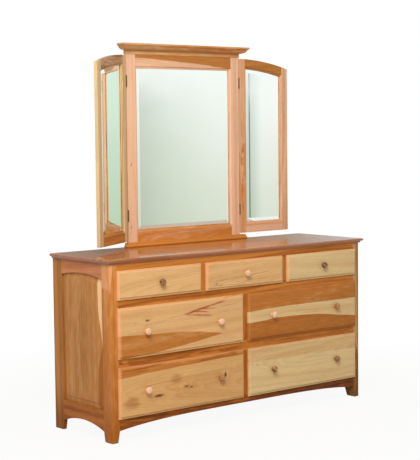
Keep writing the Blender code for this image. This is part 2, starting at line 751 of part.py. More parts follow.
def make_centre_mirror(finishes):
    inner = MIRROR_SIDE - STILE_WIDTH
    low = MIRROR_BASE + MIRROR_BOTTOM_RAIL
    high = MIRROR_TOP - MIRROR_TOP_RAIL

    def ring(inset, y):
        return [(x, y, z) for x, z in rectangle(-inner + inset, inner - inset, low + inset, high - inset)]

    cutter = loft("mirror_window", [ring(inset, y) for inset, y in window_stations(MIRROR_FRONT)],
                  cutter=True)
    middle = MIRROR_FRONT + FRAME_THICKNESS / 2

    def place(u, v, w):
        return Vector((u, middle + w, v))

    shoulder = inner + STICKING_WIDTH
    rail_end = shoulder - FIT
    for side, label in ((-1, "left"), (1, "right")):
        stile = [(MIRROR_SIDE, MIRROR_BASE), (MIRROR_SIDE, MIRROR_TOP), (shoulder, MIRROR_TOP),
                 (shoulder, high + STICKING_WIDTH), (inner - FIT, high - FIT), (inner - FIT, low + FIT),
                 (shoulder, low - STICKING_WIDTH), (shoulder, MIRROR_BASE)]
        piece = plate("mirror_stile_" + label, [(side * x, z) for x, z in stile],
                      FRAME_THICKNESS, place, finishes["frame"])
        cut(piece, cutter)
    for name, edge, outer in (("mirror_top_rail", high, MIRROR_TOP),
                              ("mirror_bottom_rail", low, MIRROR_BASE)):
        away = 1 if outer > edge else -1
        rail = [(-rail_end, outer), (-rail_end, edge + away * (STICKING_WIDTH + FIT)),
                (-inner + FIT, edge + away * 2 * FIT), (-inner + FIT, edge - away * FIT),
                (inner - FIT, edge - away * FIT), (inner - FIT, edge + away * 2 * FIT),
                (rail_end, edge + away * (STICKING_WIDTH + FIT)), (rail_end, outer)]
        piece = plate(name, rail, FRAME_THICKNESS, place, finishes["frame"])
        cut(piece, cutter)
    loft("mirror_glass_centre", [ring(inset, y) for inset, y in glass_stations(MIRROR_FRONT)],
         finishes["glass"])


def moulded_strip(name, base, section, back, material):
    """Strip along the front and both ends of the mirror frame, from (height, overhang) points."""
    outlines = []
    for height, overhang in section:
        corners = rectangle(-MIRROR_SIDE - overhang, MIRROR_SIDE + overhang, MIRROR_FRONT - overhang, back)
        outlines.append([(x, y, base + height) for x, y in corners])
    loft(name, outlines, material)


def crown_section():
    """Height and overhang up the crown: a low bead, an ogee and a plain fillet on top."""
    reach = CROWN_OVERHANG
    bead = CROWN_BEAD_LEVEL * CROWN_HEIGHT
    easing = CROWN_EASING_SHARE * CROWN_HEIGHT
    fillet_base = CROWN_HEIGHT - CROWN_FILLET_SHARE * CROWN_HEIGHT
    middle = (bead + fillet_base) / 2
    section = [(0.0, (CROWN_BEAD_REACH - CROWN_EASING_SHARE / 2) * reach), (easing, CROWN_BEAD_REACH * reach),
               (bead - easing / 3, CROWN_BEAD_REACH * reach), (bead, CROWN_COVE_START * reach)]
    for step in range(1, COVE_STEPS + 1):
        angle = math.pi / 2 * step / COVE_STEPS
        out = CROWN_COVE_START + (CROWN_COVE_MIDDLE - CROWN_COVE_START) * math.sin(angle)
        section.append((bead + (middle - bead) * (1 - math.cos(angle)), out * reach))
    for step in range(1, COVE_STEPS + 1):
        angle = math.pi / 2 * step / COVE_STEPS
        out = CROWN_COVE_MIDDLE + (CROWN_COVE_END - CROWN_COVE_MIDDLE) * (1 - math.cos(angle))
        section.append((middle + (fillet_base - middle) * math.sin(angle), out * reach))
    section.append((fillet_base, reach))
    section.append((CROWN_HEIGHT, reach))
    return section


def base_section():
    """Height and overhang up the base moulding: a rounded nose below and an upright above."""
    reach = BASE_PROJECTION
    nose = BASE_NOSE_SHARE * BASE_HEIGHT
    easing = BASE_EASING_SHARE * BASE_HEIGHT
    section = []
    for step in range(COVE_STEPS + 2):
        angle = math.pi * step / (COVE_STEPS + 1)
        out = 1 - BASE_NOSE_BULGE + BASE_NOSE_BULGE * math.sin(angle)
        section.append((nose / 2 * (1 - math.cos(angle)), out * reach))
    section.append((BASE_UPRIGHT_LEVEL * BASE_HEIGHT, BASE_UPRIGHT_REACH * reach))
    section.append((BASE_HEIGHT - easing, BASE_UPRIGHT_REACH * reach))
    section.append((BASE_HEIGHT, BASE_UPRIGHT_REACH * reach - easing))
    return section


# Wings
def wing_outline(inset=0.0, window=False):
    """Outline of a wing, measured out from its hinged edge and up from the floor."""
    stile = WING_STILE if window else 0.0
    top_drop = WING_TOP_RAIL if window else 0.0
    base = WING_BOTTOM + (WING_BOTTOM_RAIL if window else 0.0)
    centre = (0.0, WING_TOP - WING_ARC_RADIUS)
    return arched_outline(stile, WING_WIDTH - stile, base, centre, WING_ARC_RADIUS - top_drop, inset)


def hinge_levels():
    return {"upper": WING_TOP - HINGE_INSET, "lower": WING_BOTTOM + HINGE_INSET}


def make_wing(side, label, swing, finishes):
    """One mirrored wing, modelled in line with the centre and then swung about its hinges."""
    hinge = bpy.data.objects.new(f"wing_{label}_hinge_axis", None)
    parts.objects.link(hinge)
    hinge.location = (side * HINGE_X, HINGE_Y, 0.0)
    hinge.rotation_euler = (0.0, 0.0, -side * swing)
    start = WING_GAP / 2
    front = HINGE_STANDOFF
    middle = front + WING_THICKNESS / 2

    def place(u, v, w):
        return Vector((side * (start + u), middle + w, v))

    def ring(inset, y):
        return [(side * (start + u), y, v) for u, v in wing_outline(inset, True)]

    frame = plate("wing_frame_" + label, wing_outline(), WING_THICKNESS, place,
                  finishes["frame"], hinge)
    cut(frame, loft("wing_window_" + label, [ring(inset, y) for inset, y in window_stations(front)],
                    parent=hinge, cutter=True))
    loft("wing_glass_" + label, [ring(inset, y) for inset, y in glass_stations(front)],
         finishes["glass"], hinge)
    for level, z in hinge_levels().items():
        make_hinge(side, label, level, z, hinge, frame, finishes)


def cylinder(name, radius, low, high, segments, x=0.0, y=0.0, parent=None, cutter=True, material=None):
    mesh = bpy.data.meshes.new(name)
    work = bmesh.new()
    bmesh.ops.create_cone(work, cap_ends=True, segments=segments, radius1=radius, radius2=radius,
                          depth=high - low)
    work.to_mesh(mesh)
    work.free()
    item = add_object(name, mesh, material, parent, cutter)
    item.location = (x, y, (low + high) / 2)
    return item


def make_hinge(side, label, level, z, axis, wing, finishes):
    """Butt hinge: outer knuckles, leaf and pin stay on the centre frame, the middle knuckle on the wing."""
    third = HINGE_LENGTH / 3
    low, high = z - HINGE_LENGTH / 2, z + HINGE_LENGTH / 2
    tag = f"{label}_{level}"
    x, y = side * HINGE_X, HINGE_Y
    leaf_front = y + KNUCKLE_RADIUS + FIT
    outer = side * (MIRROR_SIDE + FIT)
    inner = side * (MIRROR_SIDE + FIT + HINGE_LEAF)
    left, right = sorted((outer, inner))
    inset = NECK_INSET_SHARE * HINGE_LEAF
    fixed = block("hinge_" + tag, (left, leaf_front, low), (right, leaf_front + HINGE_LEAF_DEPTH, high),
                  finishes["hinge"])
    for end, bottom, top in (("low", low, low + third - KNUCKLE_GAP / 2),
                             ("high", high - third + KNUCKLE_GAP / 2, high)):
        neck = block(f"hinge_neck_{tag}_{end}", (left + inset, y, bottom + inset),
                     (right - inset, leaf_front + HINGE_LEAF, top - inset), cutter=True)
        knuckle = cylinder(f"hinge_knuckle_{tag}_{end}", KNUCKLE_RADIUS, bottom, top, KNUCKLE_FACETS, x, y)
        join(fixed, neck)
        join(fixed, knuckle)
    join(fixed, cylinder(f"hinge_pin_{tag}", PIN_RADIUS, low + third / 2, high - third / 2, PIN_FACETS, x, y))

    leaf_low, leaf_high = z - third / 2 + KNUCKLE_GAP / 2, z + third / 2 - KNUCKLE_GAP / 2
    leaf_front = KNUCKLE_RADIUS + 2 * FIT
    left, right = sorted((side * (WING_GAP / 2 - HINGE_LEAF), side * (WING_GAP / 2 + HINGE_LEAF)))
    leaf = block(f"wing_leaf_{tag}", (left, leaf_front, low), (right, leaf_front + HINGE_LEAF_DEPTH, high),
                 parent=axis, cutter=True)
    left, right = sorted((side * (WING_GAP / 2 - HINGE_LEAF + inset), side * (WING_GAP / 2 - 2 * inset)))
    neck = block(f"wing_neck_{tag}", (left, inset, leaf_low + inset),
                 (right, leaf_front + HINGE_LEAF, leaf_high - inset), parent=axis, cutter=True)
    knuckle = cylinder(f"wing_knuckle_{tag}", KNUCKLE_RADIUS, leaf_low, leaf_high, KNUCKLE_FACETS,
                       parent=axis)
    bore = cylinder(f"wing_bore_{tag}", PIN_RADIUS + PIN_CLEARANCE, z - third, z + third, PIN_FACETS,
                    parent=axis)
    join(wing, leaf)
    join(wing, neck)
    join(wing, knuckle)
    cut(wing, bore)


def main():
    global parts, cutters
    clear_scene()
    parts = new_collection("dresser_with_mirror")
    cutters = new_collection("cutters")
    finishes = make_finishes()
    make_top(finishes)
    make_case_ends(finishes)
    make_back(finishes)
    make_front_frame(finishes)
    make_drawers(finishes)
    make_centre_mirror(finishes)
    moulded_strip("mirror_crown", MIRROR_TOP + FIT, crown_section(), CASE_BACK, finishes["frame"])
    moulded_strip("mirror_base_moulding", MIRROR_BASE, base_section(), MIRROR_FRONT - FIT,
                  finishes["frame"])
    make_wing(-1, "left", LEFT_WING_SWING, finishes)
    make_wing(1, "right", 0.0, finishes)


main()
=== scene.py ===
"""Looks of the seven-drawer hickory dresser with its three-leaf mirror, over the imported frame.

Metres, +Z up, +X to the right along the front, +Y to the back. Every piece is made where it stands.
"""
import json
import math
from dataclasses import dataclass

import bmesh
import bpy
from bpy.props import FloatProperty, FloatVectorProperty, IntProperty, PointerProperty
from mathutils import Matrix, Vector


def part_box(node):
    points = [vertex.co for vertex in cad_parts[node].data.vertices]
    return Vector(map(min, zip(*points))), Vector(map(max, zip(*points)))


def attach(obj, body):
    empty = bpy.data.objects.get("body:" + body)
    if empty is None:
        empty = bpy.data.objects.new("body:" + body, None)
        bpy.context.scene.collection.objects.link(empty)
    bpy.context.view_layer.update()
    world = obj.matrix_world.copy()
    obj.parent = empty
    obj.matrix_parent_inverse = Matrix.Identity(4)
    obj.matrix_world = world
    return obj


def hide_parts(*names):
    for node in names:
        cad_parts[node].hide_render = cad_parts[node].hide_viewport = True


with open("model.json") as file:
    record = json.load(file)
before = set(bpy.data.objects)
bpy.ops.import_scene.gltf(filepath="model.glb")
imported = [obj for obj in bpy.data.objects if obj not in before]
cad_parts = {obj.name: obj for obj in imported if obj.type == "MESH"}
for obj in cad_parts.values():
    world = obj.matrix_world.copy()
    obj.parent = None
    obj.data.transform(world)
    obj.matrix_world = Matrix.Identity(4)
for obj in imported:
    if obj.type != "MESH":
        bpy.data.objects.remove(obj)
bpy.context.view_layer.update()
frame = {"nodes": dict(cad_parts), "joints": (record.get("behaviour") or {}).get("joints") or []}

bl_info = {
    "name": "Hickory Dresser",
    "version": (1, 0, 0),
    "blender": (4, 5, 0),
    "location": "3D View > Sidebar > Dresser",
    "description": "Dresses the packed dresser in its wood, glass and fittings, and sets its stage",
    "category": "Add Mesh",
}

# Places that come from the frame
FRONT_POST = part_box("front_post_right")
TOP_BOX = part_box("top_board")
APRON_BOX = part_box("front_apron")
CENTRE_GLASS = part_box("mirror_glass_centre")
WING_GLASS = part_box("wing_glass_right")
WING_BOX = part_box("wing_frame_right")
STILE_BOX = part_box("mirror_stile_right")
BACK_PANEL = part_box("back_panel")
CASE_SIDE = FRONT_POST[1].x
CASE_FRONT = FRONT_POST[0].y
CASE_BACK = BACK_PANEL[1].y
RAIL_BACK = APRON_BOX[1].y
MIRROR_SIDE = STILE_BOX[1].x
MIRROR_FRONT = STILE_BOX[0].y
MIRROR_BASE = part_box("mirror_bottom_rail")[0].z
MIRROR_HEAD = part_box("mirror_top_rail")[0].z
GLASS_THICKNESS = CENTRE_GLASS[1].y - CENTRE_GLASS[0].y
JOINTS = {joint["name"]: joint for joint in frame["joints"]}
HINGE_PLACE = Vector(JOINTS["wing_right_hinge"]["pos_m"])
LEFT_SWING = math.radians(-JOINTS["wing_left_hinge"]["range_deg"][0])
KNUCKLE = HINGE_PLACE.x - WING_BOX[0].x
SIDES = ((-1, "left"), (1, "right"))

# Gap between two pieces that fit together
FIT = 0.0003

# Each drawer and the woods of its knobs, from left to right
DRAWERS = {
    "top_left": ("brown",),
    "top_middle": ("pale",),
    "top_right": ("brown",),
    "middle_left": ("pale", "pale"),
    "middle_right": ("pale", "brown"),
    "bottom_left": ("pale", "brown"),
    "bottom_right": ("brown", "brown"),
}


# Sizes and colours that a user would change
def length(label, text, metres):
    return FloatProperty(name=label, description=text, default=metres, min=0.0, unit="LENGTH",
                         subtype="DISTANCE", precision=5)


def share(label, text, value):
    return FloatProperty(name=label, description=text, default=value, min=0.0, max=1.0, subtype="FACTOR")


def tint(label, text, red, green, blue):
    """A colour written as it looks on screen, 0 to 255, and kept as light."""
    light = [((part / 255 + 0.055) / 1.055) ** 2.4 for part in (red, green, blue)]
    return FloatVectorProperty(name=label, description=text, default=light, size=3, min=0.0, max=1.0,
                               subtype="COLOR")


class DresserSizes(bpy.types.PropertyGroup):
    """Sizes of the details that the frame doesn't give."""
    edge_ease: length("Eased edge", "Rounding of the sawn edges", 0.0009)
    post_corner: length("Post corner", "Rounding of a front post's outer corner", 0.006)
    joint_gap: length("Joint gap", "Fine line left between two glued boards", 0.0002)
    top_nose: share("Top nose level", "Height of the top's nose in its thickness", 0.62)
    top_cove: share("Top cove", "Height of the cove under the nose", 0.42)
    top_reach: share("Top cove reach", "Reach of the cove in the overhang", 0.62)
    front_lip: length("Lip depth", "Thickness of a drawer front's lip", 0.008)
    front_cove_width: length("Front cove width", "Width of the cove round a drawer front", 0.013)
    front_cove_depth: length("Front cove depth", "Depth of the cove round a drawer front", 0.008)
    apron_rise: length("Apron rise", "Rise of the arch under the front", 0.029)
    sticking_width: length("Sticking width", "Width of the rounded edge inside a mirror frame", 0.0115)
    sticking_depth: length("Sticking depth", "Depth of that rounded edge", 0.006)
    lip_depth: length("Glass lip", "Depth of the lip that holds the glass", 0.010)
    glass_rabbet: length("Glass rabbet", "Reach of the glass behind the lip", 0.009)
    glass_edge: length("Glass edge", "Thickness of the glass at its edge", 0.003)
    glass_bevel: length("Glass bevel", "Width of the bevel ground on the glass", 0.029)
    wing_gap: length("Wing gap", "Gap between the centre frame and a wing", 0.003)
    wing_arc: length("Wing arc", "Radius of a wing's curved head", 1.38)
    knob_foot: share("Knob foot", "Radius of the knob's foot in its head's radius", 0.58)
    knob_neck: share("Knob neck", "Radius of the knob's neck in its head's radius", 0.46)
    screw_head: length("Screw head", "Radius of a panel screw's head", 0.0042)
    screw_rise: length("Screw rise", "How far a screw's head stands out", 0.0006)
    backing_inset: length("Backing inset", "Depth of the backing boards behind their frame", 0.003)
    dovetail: length("Dovetail", "Width of a dovetail at its wide end", 0.021)


class DresserColours(bpy.types.PropertyGroup):
    """Colours of the woods, glass and metal."""
    cream: tint("Cream", "Sapwood of the upper drawers", 226, 180, 124)
    straw: tint("Straw", "Palest sapwood", 225, 195, 142)
    honey: tint("Honey", "Sapwood of the lowest left drawer", 218, 171, 113)
    # Blush is also the painted highlight on a drawer front's moulded rim
    blush: tint("Blush", "Warmer tone of a drawer front's moulded rim", 240, 170, 118)
    peach: tint("Peach", "Sapwood of the mirror's uprights", 240, 192, 156)
    # Ivory is sapwood at a side panel's front edge, made paler as a painted highlight on the panel's bevel
    ivory: tint("Ivory", "Lightest sapwood, at the edge of a side panel", 254, 212, 166)
    heart: tint("Heart", "Heartwood in the drawer fronts", 190, 120, 54)
    amber: tint("Amber", "Frame wood", 206, 130, 56)
    umber: tint("Umber", "Dark streaks in the frame wood", 150, 80, 20)
    russet: tint("Russet", "Top board", 176, 105, 52)
    tan: tint("Tan", "Side panels", 190, 126, 62)
    olive: tint("Olive", "Olive streaks in the side panels", 136, 88, 32)
    rose: tint("Rose", "Pink mineral streaks", 168, 84, 46)
    bark: tint("Bark", "Knots and bark marks", 92, 52, 18)
    maple: tint("Maple", "Drawer boxes and runners", 222, 190, 142)
    ply: tint("Ply", "Back panel and backing boards", 196, 152, 104)
    silver: tint("Silver", "Mirror glass", 247, 252, 248)
    # Sea is the glass's smears and a painted reflection that greens it low down
    sea: tint("Sea", "Green smears in the glass", 236, 242, 232)
    brass: tint("Brass", "Hinges", 120, 92, 52)
    steel: tint("Steel", "Screws", 150, 148, 142)
    floor: tint("Floor", "Floor", 206, 196, 180)
    # Foot shade is painted shade: it darkens the case's wood toward the floor
    foot: tint("Foot shade", "What the case's wood is multiplied by at the floor", 200, 173, 86)


class DresserStage(bpy.types.PropertyGroup):
    """Light on the dresser."""
    sky: FloatProperty(name="Sky", description="Strength of the even light all round", default=0.50, min=0.0)
    window: FloatProperty(name="Window", description="Power of the large soft lamp", default=182.0,
                          min=0.0, subtype="POWER")
    floor_size: length("Floor size", "Half width of the floor", 7.5)
    facets: IntProperty(name="Facets", description="Facets round a turned piece", default=48, min=12)


def sizes():
    return bpy.context.scene.dresser_sizes


def colours():
    return bpy.context.scene.dresser_colours


# Node trees written as sums
def either_side(operation):
    """The two methods of an operator, with the wire on its left and on its right."""
    return (lambda wire, value: wire.graph.sum(operation, wire, value),
            lambda wire, value: wire.graph.sum(operation, value, wire))


class Wire:
    """An output in a node tree that can stand in a sum, whether it is a number, a vector or a colour."""
    __add__, __radd__ = either_side("ADD")
    __sub__, __rsub__ = either_side("SUBTRACT")
    __mul__, __rmul__ = either_side("MULTIPLY")
    __truediv__, __rtruediv__ = either_side("DIVIDE")

    def __init__(self, graph, socket):
        self.graph = graph
        self.socket = socket

    def other(self, name):
        """Another output of the same node."""
        return Wire(self.graph, self.graph.find(self.socket.node.outputs, name))

    def __neg__(self):
        return self * -1.0

    def __pow__(self, value):
        return self.graph.maths("POWER", self, value)

    def __abs__(self):
        return self.graph.maths("ABSOLUTE", self)

    def least(self, value):
        return self.graph.maths("MINIMUM", self, value)

    def most(self, value):
        return self.graph.maths("MAXIMUM", self, value)

    def fraction(self):
        return self.graph.maths("FRACT", self)

    def clamped(self):
        return self.least(1.0).most(0.0)


class Graph:
    """A shader or geometry node tree."""

    def __init__(self, tree):
        self.tree = tree

    @staticmethod
    def find(sockets, key):
        enabled = [socket for socket in sockets if socket.enabled]
        if isinstance(key, int):
            return enabled[key]
        return next(socket for socket in enabled if socket.name == key)

    def feed(self, socket, value):
        if isinstance(value, Wire):
            self.tree.links.new(value.socket, socket)
            return
        if socket.type in ("RGBA", "VECTOR") and not hasattr(value, "__len__"):
            value = (value, value, value)
        if socket.type == "RGBA" and len(value) == 3:
            value = (*value, 1.0)
        socket.default_value = value

    def node(self, kind, settings=None, inputs=None, output=0):
        """Any node: its type, its settings, then what goes into it. Returns one of its outputs."""
        made = self.tree.nodes.new(kind)
        for key, value in (settings or {}).items():
            setattr(made, key, value)
        for key, value in (inputs or {}).items():
            self.feed(self.find(made.inputs, key), value)
        return Wire(self, self.find(made.outputs, output))

    def maths(self, operation, *values):
        return self.node("ShaderNodeMath", {"operation": operation}, dict(enumerate(values)))

    def sum(self, operation, left, right):
        kinds = {value.socket.type for value in (left, right) if isinstance(value, Wire)}
        if "RGBA" in kinds:
            return self.node("ShaderNodeMix", {"data_type": "RGBA", "blend_type": operation},
                             {"Factor": 1.0, "A": left, "B": right})
        if "VECTOR" in kinds or any(hasattr(value, "__len__") for value in (left, right)):
            return self.node("ShaderNodeVectorMath", {"operation": operation}, {0: left, 1: right})
        return self.maths(operation, left, right)

    def mix(self, factor, low, high):
        return self.node("ShaderNodeMix", {"data_type": "RGBA"}, {"Factor": factor, "A": low, "B": high})

    def vector(self, x, y, z):
        return self.node("ShaderNodeCombineXYZ", None, {0: x, 1: y, 2: z})

    def parts(self, vector):
        """The three numbers of a vector."""
        x = self.node("ShaderNodeSeparateXYZ", None, {0: vector}, "X")
        return x, x.other("Y"), x.other("Z")

    def rise(self, value, low, high):
        """0 up to low, 1 from high, smooth between them; the other way round if low is the higher."""
        return self.node("ShaderNodeMapRange", {"interpolation_type": "SMOOTHSTEP"},
                         {"Value": value, "From Min": low, "From Max": high})

    def place(self):
        """Where a point lies on its object."""
        return self.node("ShaderNodeTexCoord", output="Object")

    def noise(self, place, detail=2.0, roughness=0.5, scale=1.0):
        return self.node("ShaderNodeTexNoise", None,
                         {"Vector": place, "Scale": scale, "Detail": detail, "Roughness": roughness})

    def bump(self, strength, distance, height):
        return self.node("ShaderNodeBump", None,
                         {"Strength": strength, "Distance": distance, "Height": height})


# Wood, and the height up to which painted shade darkens the case toward the floor
PAINTED_FOOT_SHADE_TOP = 0.26


@dataclass
class Board:
    """How one board was cut: its colours and the figure that shows on its face.

    grain names the axes along the grain, across the face and down into the board. pith is where the
    heart of the log lies (across, down), slope how it runs off along the board, and spacing the width
    of a growth ring. deep is the colour of the darkest heartwood and of the veins.

    A band is heartwood between two lines, with its strength. A line is a level across the board, or two
    or three points (along, across) on the face. A knot is (along, across, half length, half height,
    strength) and a stain the same, a streak two points, its half width and strength.

    turn lays a swung board back flat, rim is the strength of a painted highlight on the moulded rim of a
    drawer front, and foot the strength of the painted shade that darkens the board toward the floor.
    """
    name: str
    grain: str
    pale: str = "amber"
    dark: str = "umber"
    seed: float = 0.0
    heart: float = 0.0
    figure: float = 0.8
    deep: str = "umber"
    veins: float = 0.5
    pith: tuple = (0.0, 0.0)
    slope: float = 0.05
    spacing: float = 0.0065
    bands: tuple = ()
    knots: tuple = ()
    stains: tuple = ()
    streaks: tuple = ()
    streak_tint: str = "umber"
    gloss: float = 0.38
    coat: float = 0.0
    sheen: float = 0.12
    turn: float = 0.0
    rim: float = 0.0
    foot: float = 0.0


class Grain:
    """Places in a board, along its grain, across its face and down into it."""

    def __init__(self, graph, board):
        self.graph = graph
        self.seed = board.seed
        place = graph.place()
        if board.turn:
            place = graph.node("ShaderNodeMapping", {"vector_type": "POINT"},
                               {"Vector": place, "Rotation": (0.0, 0.0, board.turn)})
        axes = dict(zip("XYZ", graph.parts(place)))
        self.along, self.across, self.through = (axes[name] for name in board.grain)
        self.height = axes["Z"]

    def noise(self, lengthwise, crosswise, layer, detail=2.0, roughness=0.5):
        """Noise drawn out along the grain, with so many blobs to a metre each way."""
        point = self.graph.vector(self.along * lengthwise, self.across * crosswise, self.through * crosswise)
        shifted = point + (self.seed * 3.1 + layer * 17.0, self.seed * 5.7, layer * 9.0)
        return self.graph.noise(shifted, detail, roughness)

    def line(self, points):
        """Height of a line over the face, a level or a curve through two or three points."""
        if not isinstance(points, tuple):
            return points
        (x0, y0), (x1, y1) = points[0], points[-1]
        slope = (y1 - y0) / (x1 - x0)
        straight = self.along * slope + (y0 - slope * x0)
        if len(points) == 2:
            return straight
        x2, y2 = points[1]
        bend = (y2 - y0 - slope * (x2 - x0)) / ((x2 - x0) * (x2 - x1))
        return straight + (self.along - x0) * (self.along - x1) * bend


def new_material(name):
    material = bpy.data.materials.new(name)
    material.use_nodes = True
    return material, Graph(material.node_tree), material.node_tree.nodes["Principled BSDF"]


def set_shader(graph, shader, values):
    for name, value in values.items():
        graph.feed(shader.inputs[name], value)


def knot_mask(grain, along, across, half_length, half_height):
    """Nearness to a knot: 1 at its middle and 0 at its rim, with a ragged edge."""
    x = (grain.along - along) / half_length
    y = (grain.across - across) / half_height
    ragged = (grain.noise(60.0, 160.0, 7) - 0.5) * 0.9
    return grain.graph.rise((x * x + y * y) ** 0.5 + ragged, 1.25, 0.35)


def stain_mask(grain, along, across, half_length, half_height):
    """A wide cloud with a soft, broken edge."""
    off = ((grain.along - along) / half_length) ** 2.0 + ((grain.across - across) / half_height) ** 2.0
    return grain.graph.rise(off + (grain.noise(16.0, 70.0, 15, 3.0) - 0.5) * 1.8, 1.9, -0.3)


def streak_mask(grain, start, end, half_width):
    """A thin dark streak between two points, which fades at its ends."""
    graph = grain.graph
    ragged = (grain.noise(9.0, 40.0, 8) - 0.5) * half_width * 2.4
    off = abs(grain.across - grain.line((start, end)) + ragged)
    body = graph.rise(off, half_width * 1.4, half_width * 0.2)
    fade = abs(end[0] - start[0]) * 0.18
    low, high = sorted((start[0], end[0]))
    ends = graph.rise(grain.along, low, low + fade) * graph.rise(grain.along, high, high - fade)
    return body * ends * (0.55 + 0.45 * graph.rise(grain.noise(14.0, 70.0, 9), 0.35, 0.6))


def rim_highlight_mask(grain, node):
    """A painted highlight on the moulded rim of a drawer front, strongest along its left edge and its top,
    where the light falls.
    """
    graph = grain.graph
    low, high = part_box(node)
    left = graph.rise(grain.along, low.x + 0.022, low.x + 0.004)
    top = graph.rise(grain.across, high.z - 0.015, high.z - 0.003) * 0.7
    right = graph.rise(grain.along, high.x - 0.012, high.x - 0.002) * 0.4
    return left.most(top).most(right)


def growth_rings(grain, board):
    """Rings counted from the heart of the log, which swell round each knot."""
    wander = (grain.noise(1.3, 5.0, 0) - 0.5) * 0.07
    across = grain.across - board.pith[0] + wander
    depth = grain.through - board.pith[1] + grain.along * board.slope
    depth = depth + (grain.noise(0.9, 3.0, 1) - 0.5) * 0.09
    rings = (across * across + depth * depth) ** 0.5 * (1.0 / board.spacing)
    rings = rings + grain.noise(2.5, 30.0, 2) * 0.8
    for *middle, half_length, half_height, _ in board.knots:
        rings = rings + knot_mask(grain, *middle, half_length * 3.2, half_height * 3.2) * 3.0
    return rings


def heartwood(grain, board, rings, late):
    """How much of a spot is heartwood, and the dark line at the edge of each band."""
    graph = grain.graph
    tone = graph.node("ShaderNodeTexNoise", {"noise_dimensions": "1D"},
                      {"W": rings * 0.23 + board.seed * 7.0, "Scale": 1.0, "Detail": 2.5, "Roughness": 0.6})
    level, edge = board.heart, 0.0
    ragged = (grain.noise(2.4, 24.0, 4, 4.0) - 0.5) * 0.020
    for low, high, strength in board.bands:
        inside = graph.rise(grain.across - grain.line(low) + ragged, -0.0025, 0.0040)
        inside = inside * graph.rise(grain.line(high) - grain.across + ragged, -0.0025, 0.0040)
        level = (1.0 - inside) * level + inside * strength
        edge = inside * (1.0 - inside) * 4.0 + edge
    swirl = (tone - 0.5) * 2.6 + (late - 0.3) * 0.22 + (grain.noise(1.1, 9.0, 3) - 0.5) * 1.1
    fine = (grain.noise(1.6, 34.0, 12, 3.0) - 0.5) * 0.9
    crackle = (grain.noise(14.0, 60.0, 14, 4.0) - 0.5) * 2.6
    return level + (swirl + fine + crackle * level) * board.figure, edge


def marked(grain, board, colour):
    """The board's stains, painted rim highlight, streaks and knots over its colour."""
    palette, graph = colours(), grain.graph
    for *spot, strength in board.stains:
        colour = graph.mix(stain_mask(grain, *spot) * strength, colour, palette.umber)
    # Painted highlight on a drawer front's moulded rim
    if board.rim:
        rim = rim_highlight_mask(grain, board.name.replace("drawer", "drawer_front"))
        colour = graph.mix(rim * board.rim, colour, palette.blush)
    for *run, strength in board.streaks:
        mask = (streak_mask(grain, *run) * strength).clamped()
        colour = graph.mix(mask, colour, getattr(palette, board.streak_tint))
    if board.knots:
        near = 0.0
        for *spot, strength in board.knots:
            near = (knot_mask(grain, *spot) * strength).most(near)
        colour = graph.mix(near.clamped(), colour, palette.bark)
    return colour


def wood(board):
    """Lacquered hickory: sapwood and heartwood, growth rings, pores, streaks and knots."""
    palette = colours()
    pale, dark, deep = (getattr(palette, name) for name in (board.pale, board.dark, board.deep))
    material, graph, shader = new_material(board.name)
    grain = Grain(graph, board)
    rings = growth_rings(grain, board)
    late = rings.fraction() ** 3.0
    heart, edge = heartwood(grain, board, rings, late)
    vein = graph.rise(grain.noise(0.9, 26.0, 13, 4.0), 0.54, 0.66) * board.veins
    blotch = grain.noise(3.0, 14.0, 5) - 0.5
    fleck = graph.rise(grain.noise(26.0, 420.0, 6, 3.0, 0.6), 0.56, 0.72)
    colour = graph.mix(heart.clamped(), pale, dark)
    colour = graph.mix((heart * 0.7 - 0.7 + edge * 0.45 + vein).clamped(), colour, deep)
    colour = colour * (1.0 + blotch * 0.20 - late * 0.10 - fleck * 0.20)
    # Painted shade: the board darkens toward the floor
    if board.foot:
        low = graph.rise(grain.height, PAINTED_FOOT_SHADE_TOP, 0.0) * board.foot
        colour = colour * graph.mix(low, (1.0, 1.0, 1.0), palette.foot)
    height = late * 0.35 - fleck * 0.9 + grain.noise(8.0, 90.0, 10) * 0.3
    rough = board.gloss + (grain.noise(5.0, 40.0, 11) - 0.5) * 0.12 + fleck * 0.08
    set_shader(graph, shader, {"Base Color": marked(grain, board, colour), "Roughness": rough,
                               "Normal": graph.bump(0.35, 0.0004, height),
                               "Specular IOR Level": board.sheen, "Coat Weight": board.coat,
                               "Coat Roughness": 0.09, "Coat IOR": 1.45})
    return material


def mirror_glass():
    """Silvered glass with faint smears, and a painted reflection that turns it a little greener low down."""
    palette = colours()
    material, graph, shader = new_material("mirror_glass")
    place = graph.place()
    low, high = CENTRE_GLASS[0].z, CENTRE_GLASS[1].z
    # Painted reflection: the glass greens toward its foot
    reflection_fade = (graph.parts(place)[2] - low) * (1.0 / (high - low))
    smear = graph.noise(place * (7.0, 7.0, 2.0), 3.0)
    colour = graph.mix((reflection_fade + (smear - 0.5) * 0.5).clamped(), palette.sea, palette.silver)
    set_shader(graph, shader, {"Base Color": colour, "Metallic": 1.0,
                               "Roughness": 0.002 + graph.rise(smear, 0.45, 0.7) * 0.006})
    return material


def metal(name, colour, wear):
    """Old plated metal with fine scratches and tarnish."""
    material, graph, shader = new_material(name)
    place = graph.place()
    dull = graph.rise(graph.noise(place, 4.0, scale=320.0), 0.42, 0.68)
    shade = graph.mix(dull * wear, colour, tuple(0.35 * part for part in colour))
    scratch = graph.noise(place * (90.0, 90.0, 2600.0))
    set_shader(graph, shader, {"Base Color": shade, "Metallic": 1.0, "Roughness": 0.24 + dull * 0.24,
                               "Normal": graph.bump(0.2, 0.0001, scratch)})
    return material


# Boards, one finish each; the left wing's are measured with the wing turned back flat
FINISHES = {}
WING_TURN = -LEFT_SWING
WING_PITH = 0.53

